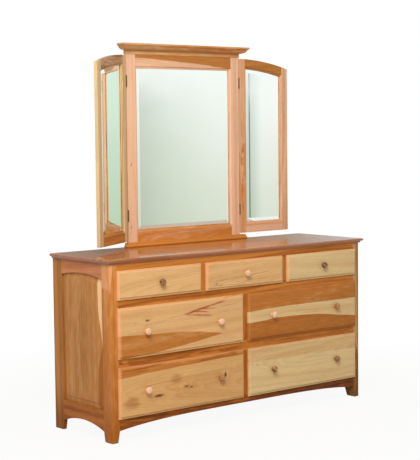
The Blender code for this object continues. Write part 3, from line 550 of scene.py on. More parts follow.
BOARDS = (
    Board("top_hickory", "XYZ", "russet", "umber", 1.0, heart=0.12, figure=0.7, pith=(0.05, 0.8),
          veins=0.35, slope=0.03, gloss=0.34, coat=0.9, sheen=0.1,
          bands=((((-0.95, -0.4), (-0.6, -0.3), (-0.15, 0.05)), ((-0.95, 0.4), (-0.6, 0.3), (-0.15, 0.05)),
                  0.52),)),
    # The left front post's stain darkens it low down: painted shade toward the floor
    Board("post_front_left", "ZXY", "blush", "amber", 2.0, heart=0.86, figure=0.6, pith=(-0.7, -0.2),
          foot=0.8, bands=((((0.7, -0.88), (0.93, -0.89)), ((0.7, -0.878), (0.93, -0.845)), 0.3),),
          stains=((0.15, -0.872, 0.42, 0.12, 0.5),)),
    Board("post_front_right", "ZXY", "honey", "olive", 3.0, heart=0.42, figure=0.4, pith=(0.95, -0.18),
          foot=0.5,
          bands=((((-0.05, 0.856), (0.95, 0.858)), 0.9, 0.62),
                 (((-0.05, 0.7), (0.1, 0.78), (0.34, 0.84)), ((-0.05, 0.92), (0.1, 0.9), (0.34, 0.84)),
                  0.95))),
    Board("post_back_left", "ZYX", "tan", "olive", 4.0, heart=0.3, pith=(0.1, -0.8), foot=1.1),
    Board("post_back_right", "ZYX", seed=5.0, heart=0.2, pith=(0.12, 0.8), foot=1.0),
    Board("side_top_rail_left", "YZX", "blush", "rose", 6.0, heart=0.58, figure=0.22, pith=(0.9, -0.8),
          deep="rose", veins=0.2),
    Board("side_top_rail_right", "YZX", seed=6.5, heart=0.2, pith=(0.9, 0.8)),
    Board("side_bottom_rail_left", "YZX", seed=7.0, heart=0.6, figure=0.6, pith=(0.02, -0.83), foot=0.5),
    Board("side_bottom_rail_right", "YZX", seed=7.5, heart=0.42, pith=(0.02, 0.83), foot=0.8),
    Board("panel_left", "ZYX", "ivory", "tan", 8.0, heart=0.94, figure=0.16, pith=(0.02, -0.78), veins=0.15,
          slope=0.03, foot=0.9, streak_tint="olive",
          bands=((-0.172, ((0.42, -0.164), (0.6, -0.132), (0.86, -0.12)), 0.14),
                 (-0.18, ((0.1, -0.136), (0.4, -0.132), (0.5, -0.16)), 1.7)),
          streaks=(((0.18, -0.01), (0.74, 0.02), 0.03, 0.34), ((0.24, -0.07), (0.72, -0.06), 0.016, 0.3),
                   ((0.14, 0.075), (0.62, 0.085), 0.018, 0.28), ((0.3, 0.03), (0.78, 0.05), 0.006, 0.45))),
    Board("panel_right", "ZYX", "ivory", "tan", 9.0, heart=0.94, figure=0.16, pith=(0.05, 0.78),
          deep="olive", slope=0.03, foot=0.9, bands=((((0.1, 0.15), (0.85, 0.168)), 0.21, 0.2),)),
    Board("rail_top", "XZY", seed=10.0, heart=0.16, pith=(0.8, -0.17)),
    Board("rail_upper", "XZY", seed=11.0, heart=0.24, figure=0.8, pith=(0.62, -0.19)),
    # The stain at the middle rail's right end is painted shade under the middle right drawer
    Board("rail_middle", "XZY", seed=12.0, heart=0.38, figure=1.0, pith=(0.398, -0.2), deep="bark",
          veins=0.6, slope=0.012,
          streaks=(((-0.85, 0.386), (-0.55, 0.392), 0.005, 0.9), ((-0.62, 0.4), (-0.2, 0.404), 0.0045, 0.8),
                   ((-0.36, 0.39), (-0.01, 0.394), 0.0085, 1.0), ((0.1, 0.396), (0.62, 0.39), 0.004, 0.7)),
          knots=((-0.815, 0.395, 0.014, 0.007, 0.7),), stains=((0.74, 0.39, 0.14, 0.04, 0.5),)),
    # The apron's dark band over its right half is painted shadow
    Board("apron", "XZY", seed=13.0, heart=0.9, figure=0.8, pith=(0.16, -0.18), deep="bark", foot=0.7,
          streak_tint="bark", bands=((0.05, ((-0.2, 0.06), (0.3, 0.128), (0.85, 0.135)), 1.55),),
          streaks=(((-0.8, 0.106), (-0.5, 0.101), 0.005, 0.8), ((-0.48, 0.114), (-0.06, 0.108), 0.005, 0.7),
                   ((0.08, 0.112), (0.6, 0.106), 0.005, 0.7))),
    Board("divider_top", "ZXY", seed=14.0, heart=0.3, pith=(0.1, -0.14)),
    Board("divider_centre", "ZXY", seed=15.0, heart=0.45, pith=(0.1, -0.18)),
    Board("drawer_top_left", "XZY", "cream", "heart", 20.0, heart=0.02, figure=0.28, pith=(0.7, -0.1),
          veins=0.0, spacing=0.008, rim=0.6),
    Board("drawer_top_middle", "XZY", "cream", "heart", 21.0, heart=0.14, figure=0.34, pith=(0.68, -0.12),
          veins=0.12, spacing=0.008, rim=0.6,
          streaks=(((-0.24, 0.752), (0.21, 0.784), 0.0016, 0.7),
                   ((-0.1, 0.741), (0.18, 0.748), 0.0013, 0.6),
                   ((-0.25, 0.735), (-0.02, 0.727), 0.0016, 0.6)),
          knots=((-0.205, 0.742, 0.006, 0.004, 0.8), (-0.176, 0.733, 0.004, 0.003, 0.7))),
    Board("drawer_top_right", "XZY", "straw", "heart", 22.0, heart=0.08, figure=0.28, pith=(0.92, -0.13),
          veins=0.0, spacing=0.008, rim=0.4),
    Board("drawer_middle_left", "XZY", "cream", "heart", 23.0, heart=0.1, figure=0.34, pith=(0.36, -0.16),
          veins=0.06, rim=0.6, streak_tint="rose",
          bands=((((-0.835, 0.414), (-0.5, 0.436), (-0.15, 0.482)),
                  ((-0.833, 0.53), (-0.5, 0.518), (-0.15, 0.478)), 0.95),),
          streaks=(((-0.44, 0.6), (-0.13, 0.652), 0.0054, 1.0),
                   ((-0.43, 0.604), (-0.225, 0.58), 0.0066, 1.0),
                   ((-0.38, 0.616), (-0.25, 0.6), 0.0044, 0.9), ((-0.32, 0.622), (-0.2, 0.616), 0.003, 0.8),
                   ((-0.54, 0.592), (-0.33, 0.612), 0.0024, 0.4),
                   ((-0.7, 0.57), (-0.52, 0.584), 0.0016, 0.45),
                   ((-0.16, 0.66), (-0.05, 0.672), 0.0018, 0.6),
                   ((-0.19, 0.622), (-0.06, 0.628), 0.0016, 0.5)),
          knots=((-0.656, 0.596, 0.016, 0.006, 0.8),)),
    Board("drawer_middle_right", "XZY", "straw", "heart", 24.0, heart=0.08, figure=0.34, pith=(0.6, -0.15),
          veins=0.15, rim=0.1,
          bands=((((0.03, 0.574), (0.42, 0.578), (0.815, 0.58)), 0.72, 1.14),
                 (0.4, ((0.03, 0.514), (0.4, 0.518), (0.815, 0.478)), 1.45)),
          streaks=(((0.3, 0.548), (0.7, 0.536), 0.0016, 0.5), ((0.4, 0.53), (0.62, 0.526), 0.0014, 0.4))),
    Board("drawer_bottom_left", "XZY", "honey", "heart", 25.0, heart=0.1, figure=0.36, pith=(0.23, -0.15),
          veins=0.08, rim=0.6, bands=((((-0.84, 0.318), (-0.45, 0.34), (-0.04, 0.352)), 0.43, 1.2),),
          streaks=(((-0.836, 0.352), (-0.54, 0.366), 0.0046, 0.8),
                   ((-0.836, 0.338), (-0.64, 0.346), 0.0036, 0.7),
                   ((-0.34, 0.354), (-0.042, 0.364), 0.008, 0.9),
                   ((-0.78, 0.262), (-0.06, 0.292), 0.005, 0.22),
                   ((-0.78, 0.232), (-0.3, 0.222), 0.0036, 0.2)),
          knots=((-0.589, 0.207, 0.036, 0.009, 0.9), (-0.15, 0.258, 0.01, 0.016, 0.9),
                 (-0.412, 0.232, 0.018, 0.008, 0.6), (-0.38, 0.224, 0.01, 0.006, 0.7)),
          stains=((-0.48, 0.28, 0.036, 0.022, 0.48), (-0.76, 0.19, 0.046, 0.028, 0.58),
                  (-0.395, 0.228, 0.05, 0.018, 0.25))),
    Board("drawer_bottom_right", "XZY", "straw", "heart", 26.0, heart=0.04, figure=0.26, pith=(0.3, -0.15),
          veins=0.0, rim=0.2, bands=((((0.01, 0.3), (0.8, 0.292)), 0.41, 0.32),),
          knots=((0.075, 0.282, 0.008, 0.004, 0.5),)),
    Board("stile_left", "ZXY", "peach", "amber", 30.0, heart=0.1, figure=0.4, pith=(-0.3, 0.36),
          deep="rose", veins=0.2,
          knots=((1.36, -0.372, 0.012, 0.005, 0.5), (1.02, -0.378, 0.01, 0.004, 0.5))),
    Board("stile_right", "ZXY", "peach", "rose", 31.0, heart=0.0, figure=0.24, pith=(0.42, 0.36),
          deep="rose", veins=0.1, bands=((((1.0, 0.356), (1.95, 0.352)), 0.38, 0.16),)),
    Board("mirror_rail_top", "XZY", "peach", "tan", 32.0, heart=1.16, figure=0.4, pith=(2.0, 0.36),
          deep="rose", veins=0.5,
          bands=((MIRROR_HEAD - 0.02, ((-0.303, 1.93), (0.0, 1.915), (0.303, 1.89)), 0.22),)),
    Board("mirror_rail_bottom", "XZY", "peach", "amber", 33.0, heart=0.85, figure=0.4, pith=(0.92, 0.36),
          veins=0.1),
    Board("crown_hickory", "XZY", "maple", "amber", 34.0, heart=0.68, figure=0.6, pith=(2.1, 0.3)),
    Board("base_hickory", "XZY", seed=35.0, heart=0.06, figure=0.5, pith=(0.8, 0.2)),
    Board("wing_right_stile", "ZXY", "peach", "tan", 36.0, heart=0.32, figure=0.6, pith=(0.7, 0.36),
          deep="olive"),
    Board("wing_right_inner", "ZXY", "peach", "amber", 37.0, heart=0.4, figure=0.6, pith=(0.42, 0.36),
          deep="rose",
          knots=((1.42, 0.425, 0.02, 0.006, 0.5), (1.37, 0.418, 0.014, 0.005, 0.45),
                 (1.25, 0.432, 0.012, 0.004, 0.4))),
    Board("wing_right_head", "XZY", "tan", "umber", 38.0, heart=0.18, figure=0.5, pith=(1.8, 0.36)),
    Board("wing_right_base", "XZY", "peach", "amber", 39.0, heart=0.36, figure=0.5, pith=(0.9, 0.36),
          deep="rose"),
    Board("wing_left_stile", "ZXY", "maple", "tan", 40.0, heart=0.0, figure=0.4, pith=(-0.7, WING_PITH),
          turn=WING_TURN),
    Board("wing_left_inner", "ZXY", "maple", "tan", 41.0, heart=0.12, figure=0.5,
          pith=(-0.32, WING_PITH), deep="olive", turn=WING_TURN),
    Board("wing_left_head", "XZY", "peach", "olive", 42.0, heart=0.62, pith=(1.8, WING_PITH),
          turn=WING_TURN),
    Board("wing_left_base", "XZY", seed=43.0, heart=0.16, pith=(0.9, WING_PITH), turn=WING_TURN),
    Board("knob_pale", "YXZ", "peach", "heart", 50.0, heart=0.12, figure=0.5, pith=(-0.4, 0.5),
          spacing=0.004, gloss=0.3, coat=0.9),
    Board("knob_brown", "YXZ", "tan", "bark", 51.0, heart=0.56, figure=1.1, pith=(0.4, 0.5), spacing=0.004,
          gloss=0.3, coat=0.9),
    Board("maple_box", "XZY", "maple", "cream", 60.0, heart=0.2, figure=0.3, veins=0.1, gloss=0.5),
    Board("maple_pins", "YZX", "cream", "heart", 61.0, heart=0.55, figure=0.3, spacing=0.002, gloss=0.5),
    Board("back_ply", "ZXY", "ply", "amber", 70.0, heart=0.15, figure=0.5, spacing=0.022, gloss=0.62),
    Board("backing_ply", "ZXY", "ply", "amber", 71.0, heart=0.15, figure=0.5, spacing=0.022, gloss=0.62),
)


def make_finishes():
    palette = colours()
    FINISHES.update({board.name: wood(board) for board in BOARDS})
    FINISHES["glass"] = mirror_glass()
    FINISHES["brass"] = metal("hinge_brass", palette.brass, 0.8)
    FINISHES["steel"] = metal("screw_steel", palette.steel, 0.5)


# Shapes
def spaced(first, last, steps):
    """Evenly spaced values from the first to the last."""
    return [first + (last - first) * step / steps for step in range(steps + 1)]


def rectangle(left, right, base, head):
    return [(left, base), (right, base), (right, head), (left, head)]


def face_outwards(work):
    """Turn every face of a closed mesh outwards."""
    bmesh.ops.recalc_face_normals(work, faces=work.faces)
    if work.calc_volume(signed=True) < 0:
        bmesh.ops.reverse_faces(work, faces=work.faces)


def lofted(outlines):
    """A closed solid through outlines that have the same number of points."""
    work = bmesh.new()
    rings = [[work.verts.new(point) for point in outline] for outline in outlines]
    count = len(rings[0])
    for ring, following in zip(rings, rings[1:]):
        for index in range(count):
            after = (index + 1) % count
            work.faces.new((ring[index], ring[after], following[after], following[index]))
    work.faces.new(rings[0])
    work.faces.new(rings[-1])
    face_outwards(work)
    return work


def slab(outline, near, far, place=lambda u, v, depth: (u, v, depth)):
    """A flat board from a 2D outline; place turns (u, v, depth) into a point in space."""
    return lofted([[place(u, v, depth) for u, v in outline] for depth in (near, far)])


def settle(work, name, angle=40.0):
    """Turn the work into a mesh that shades smooth, with its corners kept sharp."""
    mesh = bpy.data.meshes.new(name)
    work.to_mesh(mesh)
    work.free()
    mesh.shade_smooth()
    mesh.set_sharp_from_angle(angle=math.radians(angle))
    return mesh


def moulded(name, section, low, side, front, back, angle):
    """A board or strip whose front and ends are moulded, from (height, overhang) points up its edge."""
    outlines = []
    for height, out in section:
        corners = rectangle(-side - out, side + out, front - out, back)
        outlines.append([(x, y, low + height) for x, y in corners])
    return settle(lofted(outlines), name, angle)


def linked(name, data):
    """A new object in the scene."""
    item = bpy.data.objects.new(name, data)
    bpy.context.scene.collection.objects.link(item)
    return item


def discard(item):
    mesh = item.data
    bpy.data.objects.remove(item, do_unlink=True)
    bpy.data.meshes.remove(mesh)


def baked(item, name):
    """The plain mesh that an object's modifiers make, in place of the object."""
    bpy.context.view_layer.update()
    result = bpy.data.meshes.new_from_object(item.evaluated_get(bpy.context.evaluated_depsgraph_get()))
    discard(item)
    result.name = name
    return result


def opened(mesh):
    """A scratch mesh ready for work."""
    work = bmesh.new()
    work.from_mesh(mesh)
    bpy.data.meshes.remove(mesh)
    return work


def carved(work, cutter, name):
    """Cut one solid out of another with an exact Boolean."""
    solid = linked(name, settle(work, name))
    tool = linked(name + "_cutter", settle(cutter, name + "_cutter"))
    modifier = solid.modifiers.new("Window", "BOOLEAN")
    modifier.operation = "DIFFERENCE"
    modifier.solver = "EXACT"
    modifier.object = tool
    result = opened(baked(solid, name))
    discard(tool)
    bmesh.ops.remove_doubles(result, verts=result.verts, dist=0.00002)
    if not result.faces:
        raise RuntimeError(name + " was carved away")
    return result


def round_edges(work, edges, radius, segments):
    bmesh.ops.bevel(work, geom=edges, offset=radius, offset_type="OFFSET", segments=segments, profile=0.5,
                    affect="EDGES", clamp_overlap=True)


def weigh_normals(mesh):
    """Let the large faces lead the shading, so that eased edges look round and flats stay flat."""
    item = linked("weighing", mesh)
    modifier = item.modifiers.new("Weigh", "WEIGHTED_NORMAL")
    modifier.keep_sharp = False
    modifier.weight = 100
    return baked(item, mesh.name)


def eased_mesh(work, name, radius=None, angle=35.0):
    """Round the sharp edges a little, as a sanding block does, and shade the work."""
    limit = math.radians(angle)
    sharp = [edge for edge in work.edges if len(edge.link_faces) == 2 and edge.calc_face_angle(0.0) > limit]
    round_edges(work, sharp, sizes().edge_ease if radius is None else radius, 2)
    return weigh_normals(settle(work, name, 60.0))


def add_piece(name, mesh, finish, body, slot, *nodes):
    """Link a finished mesh, and say what it rides on and what it stands for; the slot is not used."""
    item = linked(name, mesh)
    mesh.materials.clear()
    mesh.materials.append(FINISHES[finish])
    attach(item, body)
    if nodes:
        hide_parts(*nodes)


def node_work(node):
    """A copy of a CAD node's mesh with its triangles joined into its real faces."""
    work = bmesh.new()
    work.from_mesh(frame["nodes"][node].data)
    bmesh.ops.remove_doubles(work, verts=work.verts, dist=0.000005)
    bmesh.ops.dissolve_limit(work, angle_limit=math.radians(0.4), verts=work.verts, edges=work.edges)
    face_outwards(work)
    return work


def round_corner(work, radius):
    """Round the long upright edge at the outer front corner of a front post."""
    near = 0.0001
    corner = [edge for edge in work.edges if all(abs(abs(vert.co.x) - CASE_SIDE) < near
                                                 and abs(vert.co.y - CASE_FRONT) < near
                                                 for vert in edge.verts)]
    round_edges(work, corner, radius, 5)


def dress(node, finish, body="case", slot="frame", radius=None, inner=None, corner=None):
    """A CAD node with eased edges and its own board's finish, and a second one for its inner faces."""
    name = "dressed_" + node
    work = node_work(node)
    if corner:
        round_corner(work, corner)
    mesh = eased_mesh(work, name, radius)
    add_piece(name, mesh, finish, body, slot, node)
    if inner:
        mesh.materials.append(FINISHES[inner])
        for face in mesh.polygons:
            if face.center.y > RAIL_BACK + 0.0002:
                face.material_index = 1


# Top board, with shares of its overhang: how far both curves run in, and the ends of the ledge
TOP_CURVE = 0.55
TOP_LEDGE = (0.85, 0.88)
TOP_BREAK = 0.0006


def top_section(height, overhang, steps=10):
    """Height and overhang up the top's edge: a cove, a small ledge and a pointed nose."""
    own = sizes()
    cove = height * own.top_cove
    nose = height * own.top_nose
    reach = overhang * own.top_reach
    turns = spaced(0.0, math.pi / 2, steps)
    section = [(cove * math.sin(turn), reach - reach * TOP_CURVE * math.cos(turn)) for turn in turns]
    section += [(cove, overhang * TOP_LEDGE[0]), (cove + TOP_BREAK, overhang * TOP_LEDGE[1])]
    section += [(nose - 0.0008, overhang - TOP_BREAK), (nose + TOP_BREAK, overhang - 0.0001)]
    section += [(nose + (height - nose) * math.sin(turn),
                 overhang - overhang * TOP_CURVE * (1 - math.cos(turn))) for turn in turns[2:]]
    return section


def make_top():
    low, high = TOP_BOX
    section = top_section(high.z - low.z, high.x - CASE_SIDE)
    mesh = moulded("top_board_moulded", section, low.z, CASE_SIDE, CASE_FRONT, CASE_BACK, 30.0)
    add_piece("top_board_moulded", mesh, "top_hickory", "case", "top", "top_board")


# Case
def make_case():
    for _, side in SIDES:
        dress("front_post_" + side, "post_front_" + side, corner=sizes().post_corner)
        dress("back_post_" + side, "post_back_" + side)
        dress("side_top_rail_" + side, "side_top_rail_" + side)
        dress("side_bottom_rail_" + side, "side_bottom_rail_" + side)
        dress("side_panel_" + side, "panel_" + side, slot="panel", radius=0.0006)
        dress("top_divider_" + side, "divider_top")
    dress("front_top_rail", "rail_top")
    dress("centre_divider", "divider_centre")
    dress("upper_drawer_frame", "rail_upper", inner="maple_box")
    dress("middle_drawer_frame", "rail_middle", inner="maple_box")
    dress("bottom_drawer_frame", "maple_box", slot="inside")


def make_back():
    dress("back_panel", "back_ply", slot="back", radius=0.0004)


# Drawers
def make_drawer_front(label, steps=12):
    """A lipped front whose edge is a hollow cove, with a tenon that enters the box."""
    own = sizes()
    node, name = "drawer_front_" + label, "front_" + label
    low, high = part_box(node)
    lip_back, lip_front = CASE_FRONT - FIT, CASE_FRONT - own.front_lip
    tenon, chamfer = 0.011, 0.0004

    def at(inset, y):
        outline = rectangle(low.x + inset, high.x - inset, low.z + inset, high.z - inset)
        return [(x, y, z) for x, z in outline]

    outlines = [at(tenon, high.y), at(tenon, lip_back), at(chamfer, lip_back), at(0.0, lip_back - chamfer),
                at(0.0, lip_front + 0.0006), at(0.0005, lip_front)]
    for turn in spaced(0.0, math.pi / 2, steps)[1:]:
        outlines.append(at(own.front_cove_width * math.sin(turn),
                           low.y + own.front_cove_depth * math.cos(turn)))
    mesh = settle(lofted(outlines), name, 28.0)
    add_piece(name, mesh, "drawer_" + label, "drawer_" + label, "front", node)


def make_drawers():
    for label in DRAWERS:
        make_drawer_front(label)
        dress("drawer_box_" + label, "maple_box", "drawer_" + label, "inside")


# Pieces that repeat
SOCKETS = {"Facets": "NodeSocketInt", "Finish": "NodeSocketMaterial"}


def new_tree(name, *labels):
    """A geometry tree and its named inputs: facets are a number, the finish a material, the rest sizes."""
    tree = bpy.data.node_groups.new(name, "GeometryNodeTree")
    for way in ("INPUT", "OUTPUT"):
        tree.interface.new_socket("Geometry", in_out=way, socket_type="NodeSocketGeometry")
    for label in labels:
        tree.interface.new_socket(label, in_out="INPUT", socket_type=SOCKETS.get(label, "NodeSocketFloat"))
    graph = Graph(tree)
    start = graph.node("NodeGroupInput").socket.node
    return graph, [Wire(graph, item) for item in start.outputs if item.name]


def close_tree(graph, geometry, finish):
    """Every tree ends in real meshes with their material."""
    real = graph.node("GeometryNodeRealizeInstances", None, {0: geometry})
    done = graph.node("GeometryNodeSetMaterial", None, {"Geometry": real, "Material": finish})
    end = graph.tree.nodes.new("NodeGroupOutput")
    graph.tree.links.new(done.socket, end.inputs[0])
    return graph.tree


def float_curve(graph, value, points):
    """A drawn curve through (share along, share out) points."""
    wire = graph.node("ShaderNodeFloatCurve", None, {"Value": value})
    curve = wire.socket.node.mapping.curves[0]
    curve.points[0].location = points[0]
    curve.points[1].location = points[-1]
    for point in points[1:-1]:
        curve.points.new(*point)
    wire.socket.node.mapping.update()
    return wire


def moved(graph, geometry, place):
    """The geometry with every point moved to where place puts it, from its three numbers."""
    spot = place(*graph.parts(graph.node("GeometryNodeInputPosition")))
    return graph.node("GeometryNodeSetPosition", None,
                      {"Geometry": geometry, "Position": graph.vector(*spot)})


def turned_shape(graph, around, along, radius, height):
    """A closed turned shape that stands out towards the front from its seat."""
    grid = graph.node("GeometryNodeMeshGrid", None, {"Size X": 1.0, "Size Y": 1.0, "Vertices X": around,
                                                    "Vertices Y": along})

    def place(x, y, _):
        angle, way = (x + 0.5) * math.tau, y + 0.5
        out = radius(way)
        return out * graph.maths("COSINE", angle), -height(way), out * graph.maths("SINE", angle)

    return graph.node("GeometryNodeMergeByDistance", None,
                      {"Geometry": moved(graph, grid, place), "Distance": 0.00001})


def scattered(graph, points, shape):
    """The shape at every point, turned as the point's own attribute says."""
    turn = graph.node("GeometryNodeInputNamedAttribute", {"data_type": "FLOAT_VECTOR"}, {"Name": "turn"})
    return graph.node("GeometryNodeInstanceOnPoints", None,
                      {"Points": points, "Instance": shape, "Rotation": turn})


def knob_tree():
    graph, (seats, head_radius, projection, foot, neck, facets, finish) = new_tree(
        "turned_knobs", "Head Radius", "Projection", "Foot", "Neck", "Facets", "Finish")

    def radius(way):
        """A foot and a neck on a straight stem, then the round head, as shares of the head's radius."""
        head = float_curve(graph, way, ((0.0, 0.0), (0.24, 0.0), (0.36, 0.52), (0.48, 0.86), (0.60, 1.0),
                                        (0.72, 0.93), (0.84, 0.72), (0.93, 0.42), (1.0, 0.0)))
        stem = (neck + (foot - neck) * graph.rise(way, 0.20, 0.03)) * graph.rise(way, 0.0, 0.02)
        return head.most(stem * graph.rise(way, 0.55, 0.50)) * head_radius

    def height(way):
        """Shares of the projection."""
        return projection * float_curve(graph, way, (
            (0.0, 0.0), (0.03, 0.002), (0.10, 0.08), (0.24, 0.24), (0.36, 0.36), (0.48, 0.45), (0.60, 0.60),
            (0.72, 0.78), (0.84, 0.91), (0.93, 0.975), (1.0, 1.0)))

    shape = turned_shape(graph, facets, 44, radius, height)
    smooth = graph.node("GeometryNodeSetShadeSmooth", None, {0: shape})
    return close_tree(graph, scattered(graph, seats, smooth), finish)


def screw_tree():
    """Countersunk screw heads with a cross recess."""
    graph, (seats, head_radius, rise, facets, finish) = new_tree(
        "screws", "Head Radius", "Rise", "Facets", "Finish")

    def radius(way):
        return head_radius * float_curve(
            graph, way, ((0.0, 0.0), (0.05, 0.45), (0.45, 0.94), (0.55, 1.0), (0.70, 0.97), (1.0, 0.0)))

    def height(way):
        up = float_curve(
            graph, way, ((0.0, 0.0), (0.05, 0.0), (0.45, 0.80), (0.55, 0.84), (0.70, 0.90), (1.0, 1.0)))
        return head_radius * 0.5 * (up - 1.0)

    head = turned_shape(graph, facets, 14, radius, height)
    long, thin = head_radius * 1.1, head_radius * 0.22
    cross = graph.node("GeometryNodeMeshBoolean", {"operation": "UNION", "solver": "EXACT"})
    for width, depth in ((long, thin), (thin, long)):
        arm = graph.node("GeometryNodeMeshCube", None, {"Size": graph.vector(width, thin * 3.0, depth)})
        graph.tree.links.new(arm.socket, cross.socket.node.inputs["Mesh 2"])
    cut = graph.node("GeometryNodeMeshBoolean", {"operation": "DIFFERENCE", "solver": "EXACT"},
                     {"Mesh 1": head, "Mesh 2": cross})
    lifted = graph.node("GeometryNodeTransform", None,
                        {"Geometry": cut, "Translation": graph.vector(0.0, -rise, 0.0)})
    return close_tree(graph, scattered(graph, seats, lifted), finish)


def dovetail_tree():
    """Tails of the drawer's corner joints, thin end-grain shapes flush in the box's side."""
    graph, (seats, width, reach, thickness, finish) = new_tree(
        "dovetails", "Width", "Reach", "Thickness", "Finish")
    cube = graph.node("GeometryNodeMeshCube", None, {"Size": graph.vector(thickness, reach, width)})
    tail = moved(graph, cube, lambda x, y, z: (x, y, z * (0.78 + (y / reach) * 0.44)))
    return close_tree(graph, scattered(graph, seats, tail), finish)


def apron_tree():
    """The board under the drawers, whose lower edge is a flat-topped arch."""
    graph, (_, length, thickness, top, end_height, rise, front, finish) = new_tree(
        "front_apron", "Length", "Thickness", "Top", "End Height", "Rise", "Front", "Finish")
    cube = graph.node("GeometryNodeMeshCube", None,
                      {"Size": (1.0, 1.0, 1.0), "Vertices X": 121, "Vertices Y": 2, "Vertices Z": 2})

    def place(x, y, z):
        away = abs(x) * 2.0
        under = end_height + rise * (1.0 - away * away * away * away)
        return x * length, front + (y + 0.5) * thickness, under + (z + 0.5) * (top - under)

    return close_tree(graph, moved(graph, cube, place), finish)


def grow(name, tree, seats, values):
    """Evaluate a tree over its seats, (place, turn about the upright) pairs, and keep the plain mesh."""
    mesh = bpy.data.meshes.new(name + "_seats")
    mesh.from_pydata([place for place, _ in seats], [], [])
    turns = mesh.attributes.new("turn", "FLOAT_VECTOR", "POINT")
    for entry, (_, turn) in zip(turns.data, seats):
        entry.vector = (0.0, 0.0, turn)
    item = linked(name + "_seats", mesh)
    modifier = item.modifiers.new(name, "NODES")
    modifier.node_group = tree
    for socket in tree.interface.items_tree:
        if socket.in_out == "INPUT" and socket.name != "Geometry":
            modifier[socket.identifier] = values[socket.name]
    grown = baked(item, name)
    if not grown.polygons:
        raise RuntimeError(name + " grew nothing")
    work = bmesh.new()
    work.from_mesh(grown)
    bmesh.ops.recalc_face_normals(work, faces=work.faces)
    work.to_mesh(grown)
    work.free()
    return grown


def make_knobs():
    own = sizes()
    tree = knob_tree()
    for label, woods in DRAWERS.items():
        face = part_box("drawer_front_" + label)[0].y
        ends = ("_left", "_right") if len(woods) > 1 else ("",)
        for shade in sorted(set(woods)):
            nodes = ["knob_" + label + end for end, its_shade in zip(ends, woods) if its_shade == shade]
            boxes = [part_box(node) for node in nodes]
            seats = [(((low.x + high.x) / 2, face, (low.z + high.z) / 2), 0.0) for low, high in boxes]
            low, high = boxes[0]
            finish, name = "knob_" + shade, f"knobs_{label}_{shade}"
            mesh = grow(name, tree, seats, {
                "Head Radius": (high.x - low.x) / 2, "Projection": face - low.y, "Foot": own.knob_foot,
                "Neck": own.knob_neck, "Facets": bpy.context.scene.dresser_stage.facets,
                "Finish": FINISHES[finish]})
            mesh.shade_smooth()
            add_piece(name, mesh, finish, "drawer_" + label, "knob", *nodes)


def make_apron():
    low, high = APRON_BOX
    name = "front_apron_arched"
    board = grow(name, apron_tree(), [((0.0, 0.0, 0.0), 0.0)], {
        "Length": high.x - low.x, "Thickness": high.y - low.y, "Top": high.z, "End Height": low.z,
        "Rise": sizes().apron_rise, "Front": low.y, "Finish": FINISHES["apron"]})
    add_piece(name, eased_mesh(opened(board), name), "apron", "case", "frame", "front_apron")


def make_dovetails():
    """Three tails at each corner of a shallow drawer box, and five at each corner of a deep one."""
    wall, thickness, shallow = 0.0125, 0.0008, 0.15
    tree = dovetail_tree()
    for label in DRAWERS:
        low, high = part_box("drawer_box_" + label)
        count = 3 if high.z - low.z < shallow else 5
        pitch = (high.z - low.z) / count
        seats = []
        for x in (low.x, high.x):
            for y, turn in ((low.y + wall / 2, math.pi), (high.y - wall / 2, 0.0)):
                seats += [((x, y, low.z + pitch * (index + 0.5)), turn) for index in range(count)]
        name = "dovetails_" + label
        mesh = grow(name, tree, seats, {"Width": sizes().dovetail, "Reach": wall, "Thickness": thickness,
                                        "Finish": FINISHES["maple_pins"]})
        add_piece(name, mesh, "maple_pins", "drawer_" + label, "inside")


SCREW_FACETS = 24


def add_screws(name, body, seats, finish="steel", share=1.0, rise=None):
    """Screw heads on their seats, of a share of the panel screws' size."""
    own = sizes()
    tree = bpy.data.node_groups.get("screws") or screw_tree()
    mesh = grow(name, tree, seats, {
        "Head Radius": own.screw_head * share, "Rise": own.screw_rise if rise is None else rise,
        "Facets": SCREW_FACETS, "Finish": FINISHES[finish]})
    add_piece(name, mesh, finish, body, "hinge")


# Mirror frames
def swung(side, point):
    """A wing's own point, out from its hinge and up, as it stands at rest."""
    turn = Matrix.Rotation(LEFT_SWING if side < 0 else 0.0, 3, "Z")
    axis = Vector((side * HINGE_PLACE.x, HINGE_PLACE.y, 0.0))
    return axis + turn @ Vector(point)


def arched(left, right, base, head, steps=28):
    """An outline whose head is a function of the distance across."""
    return [(left, base), (right, base)] + [(u, head(u)) for u in spaced(right, left, steps)]


def straight_head(level):
    return lambda u: level


def arc_head(top, radius):
    """The curved head of a wing, highest at its hinged edge."""
    return lambda u: top - radius + math.sqrt(radius * radius - u * u)


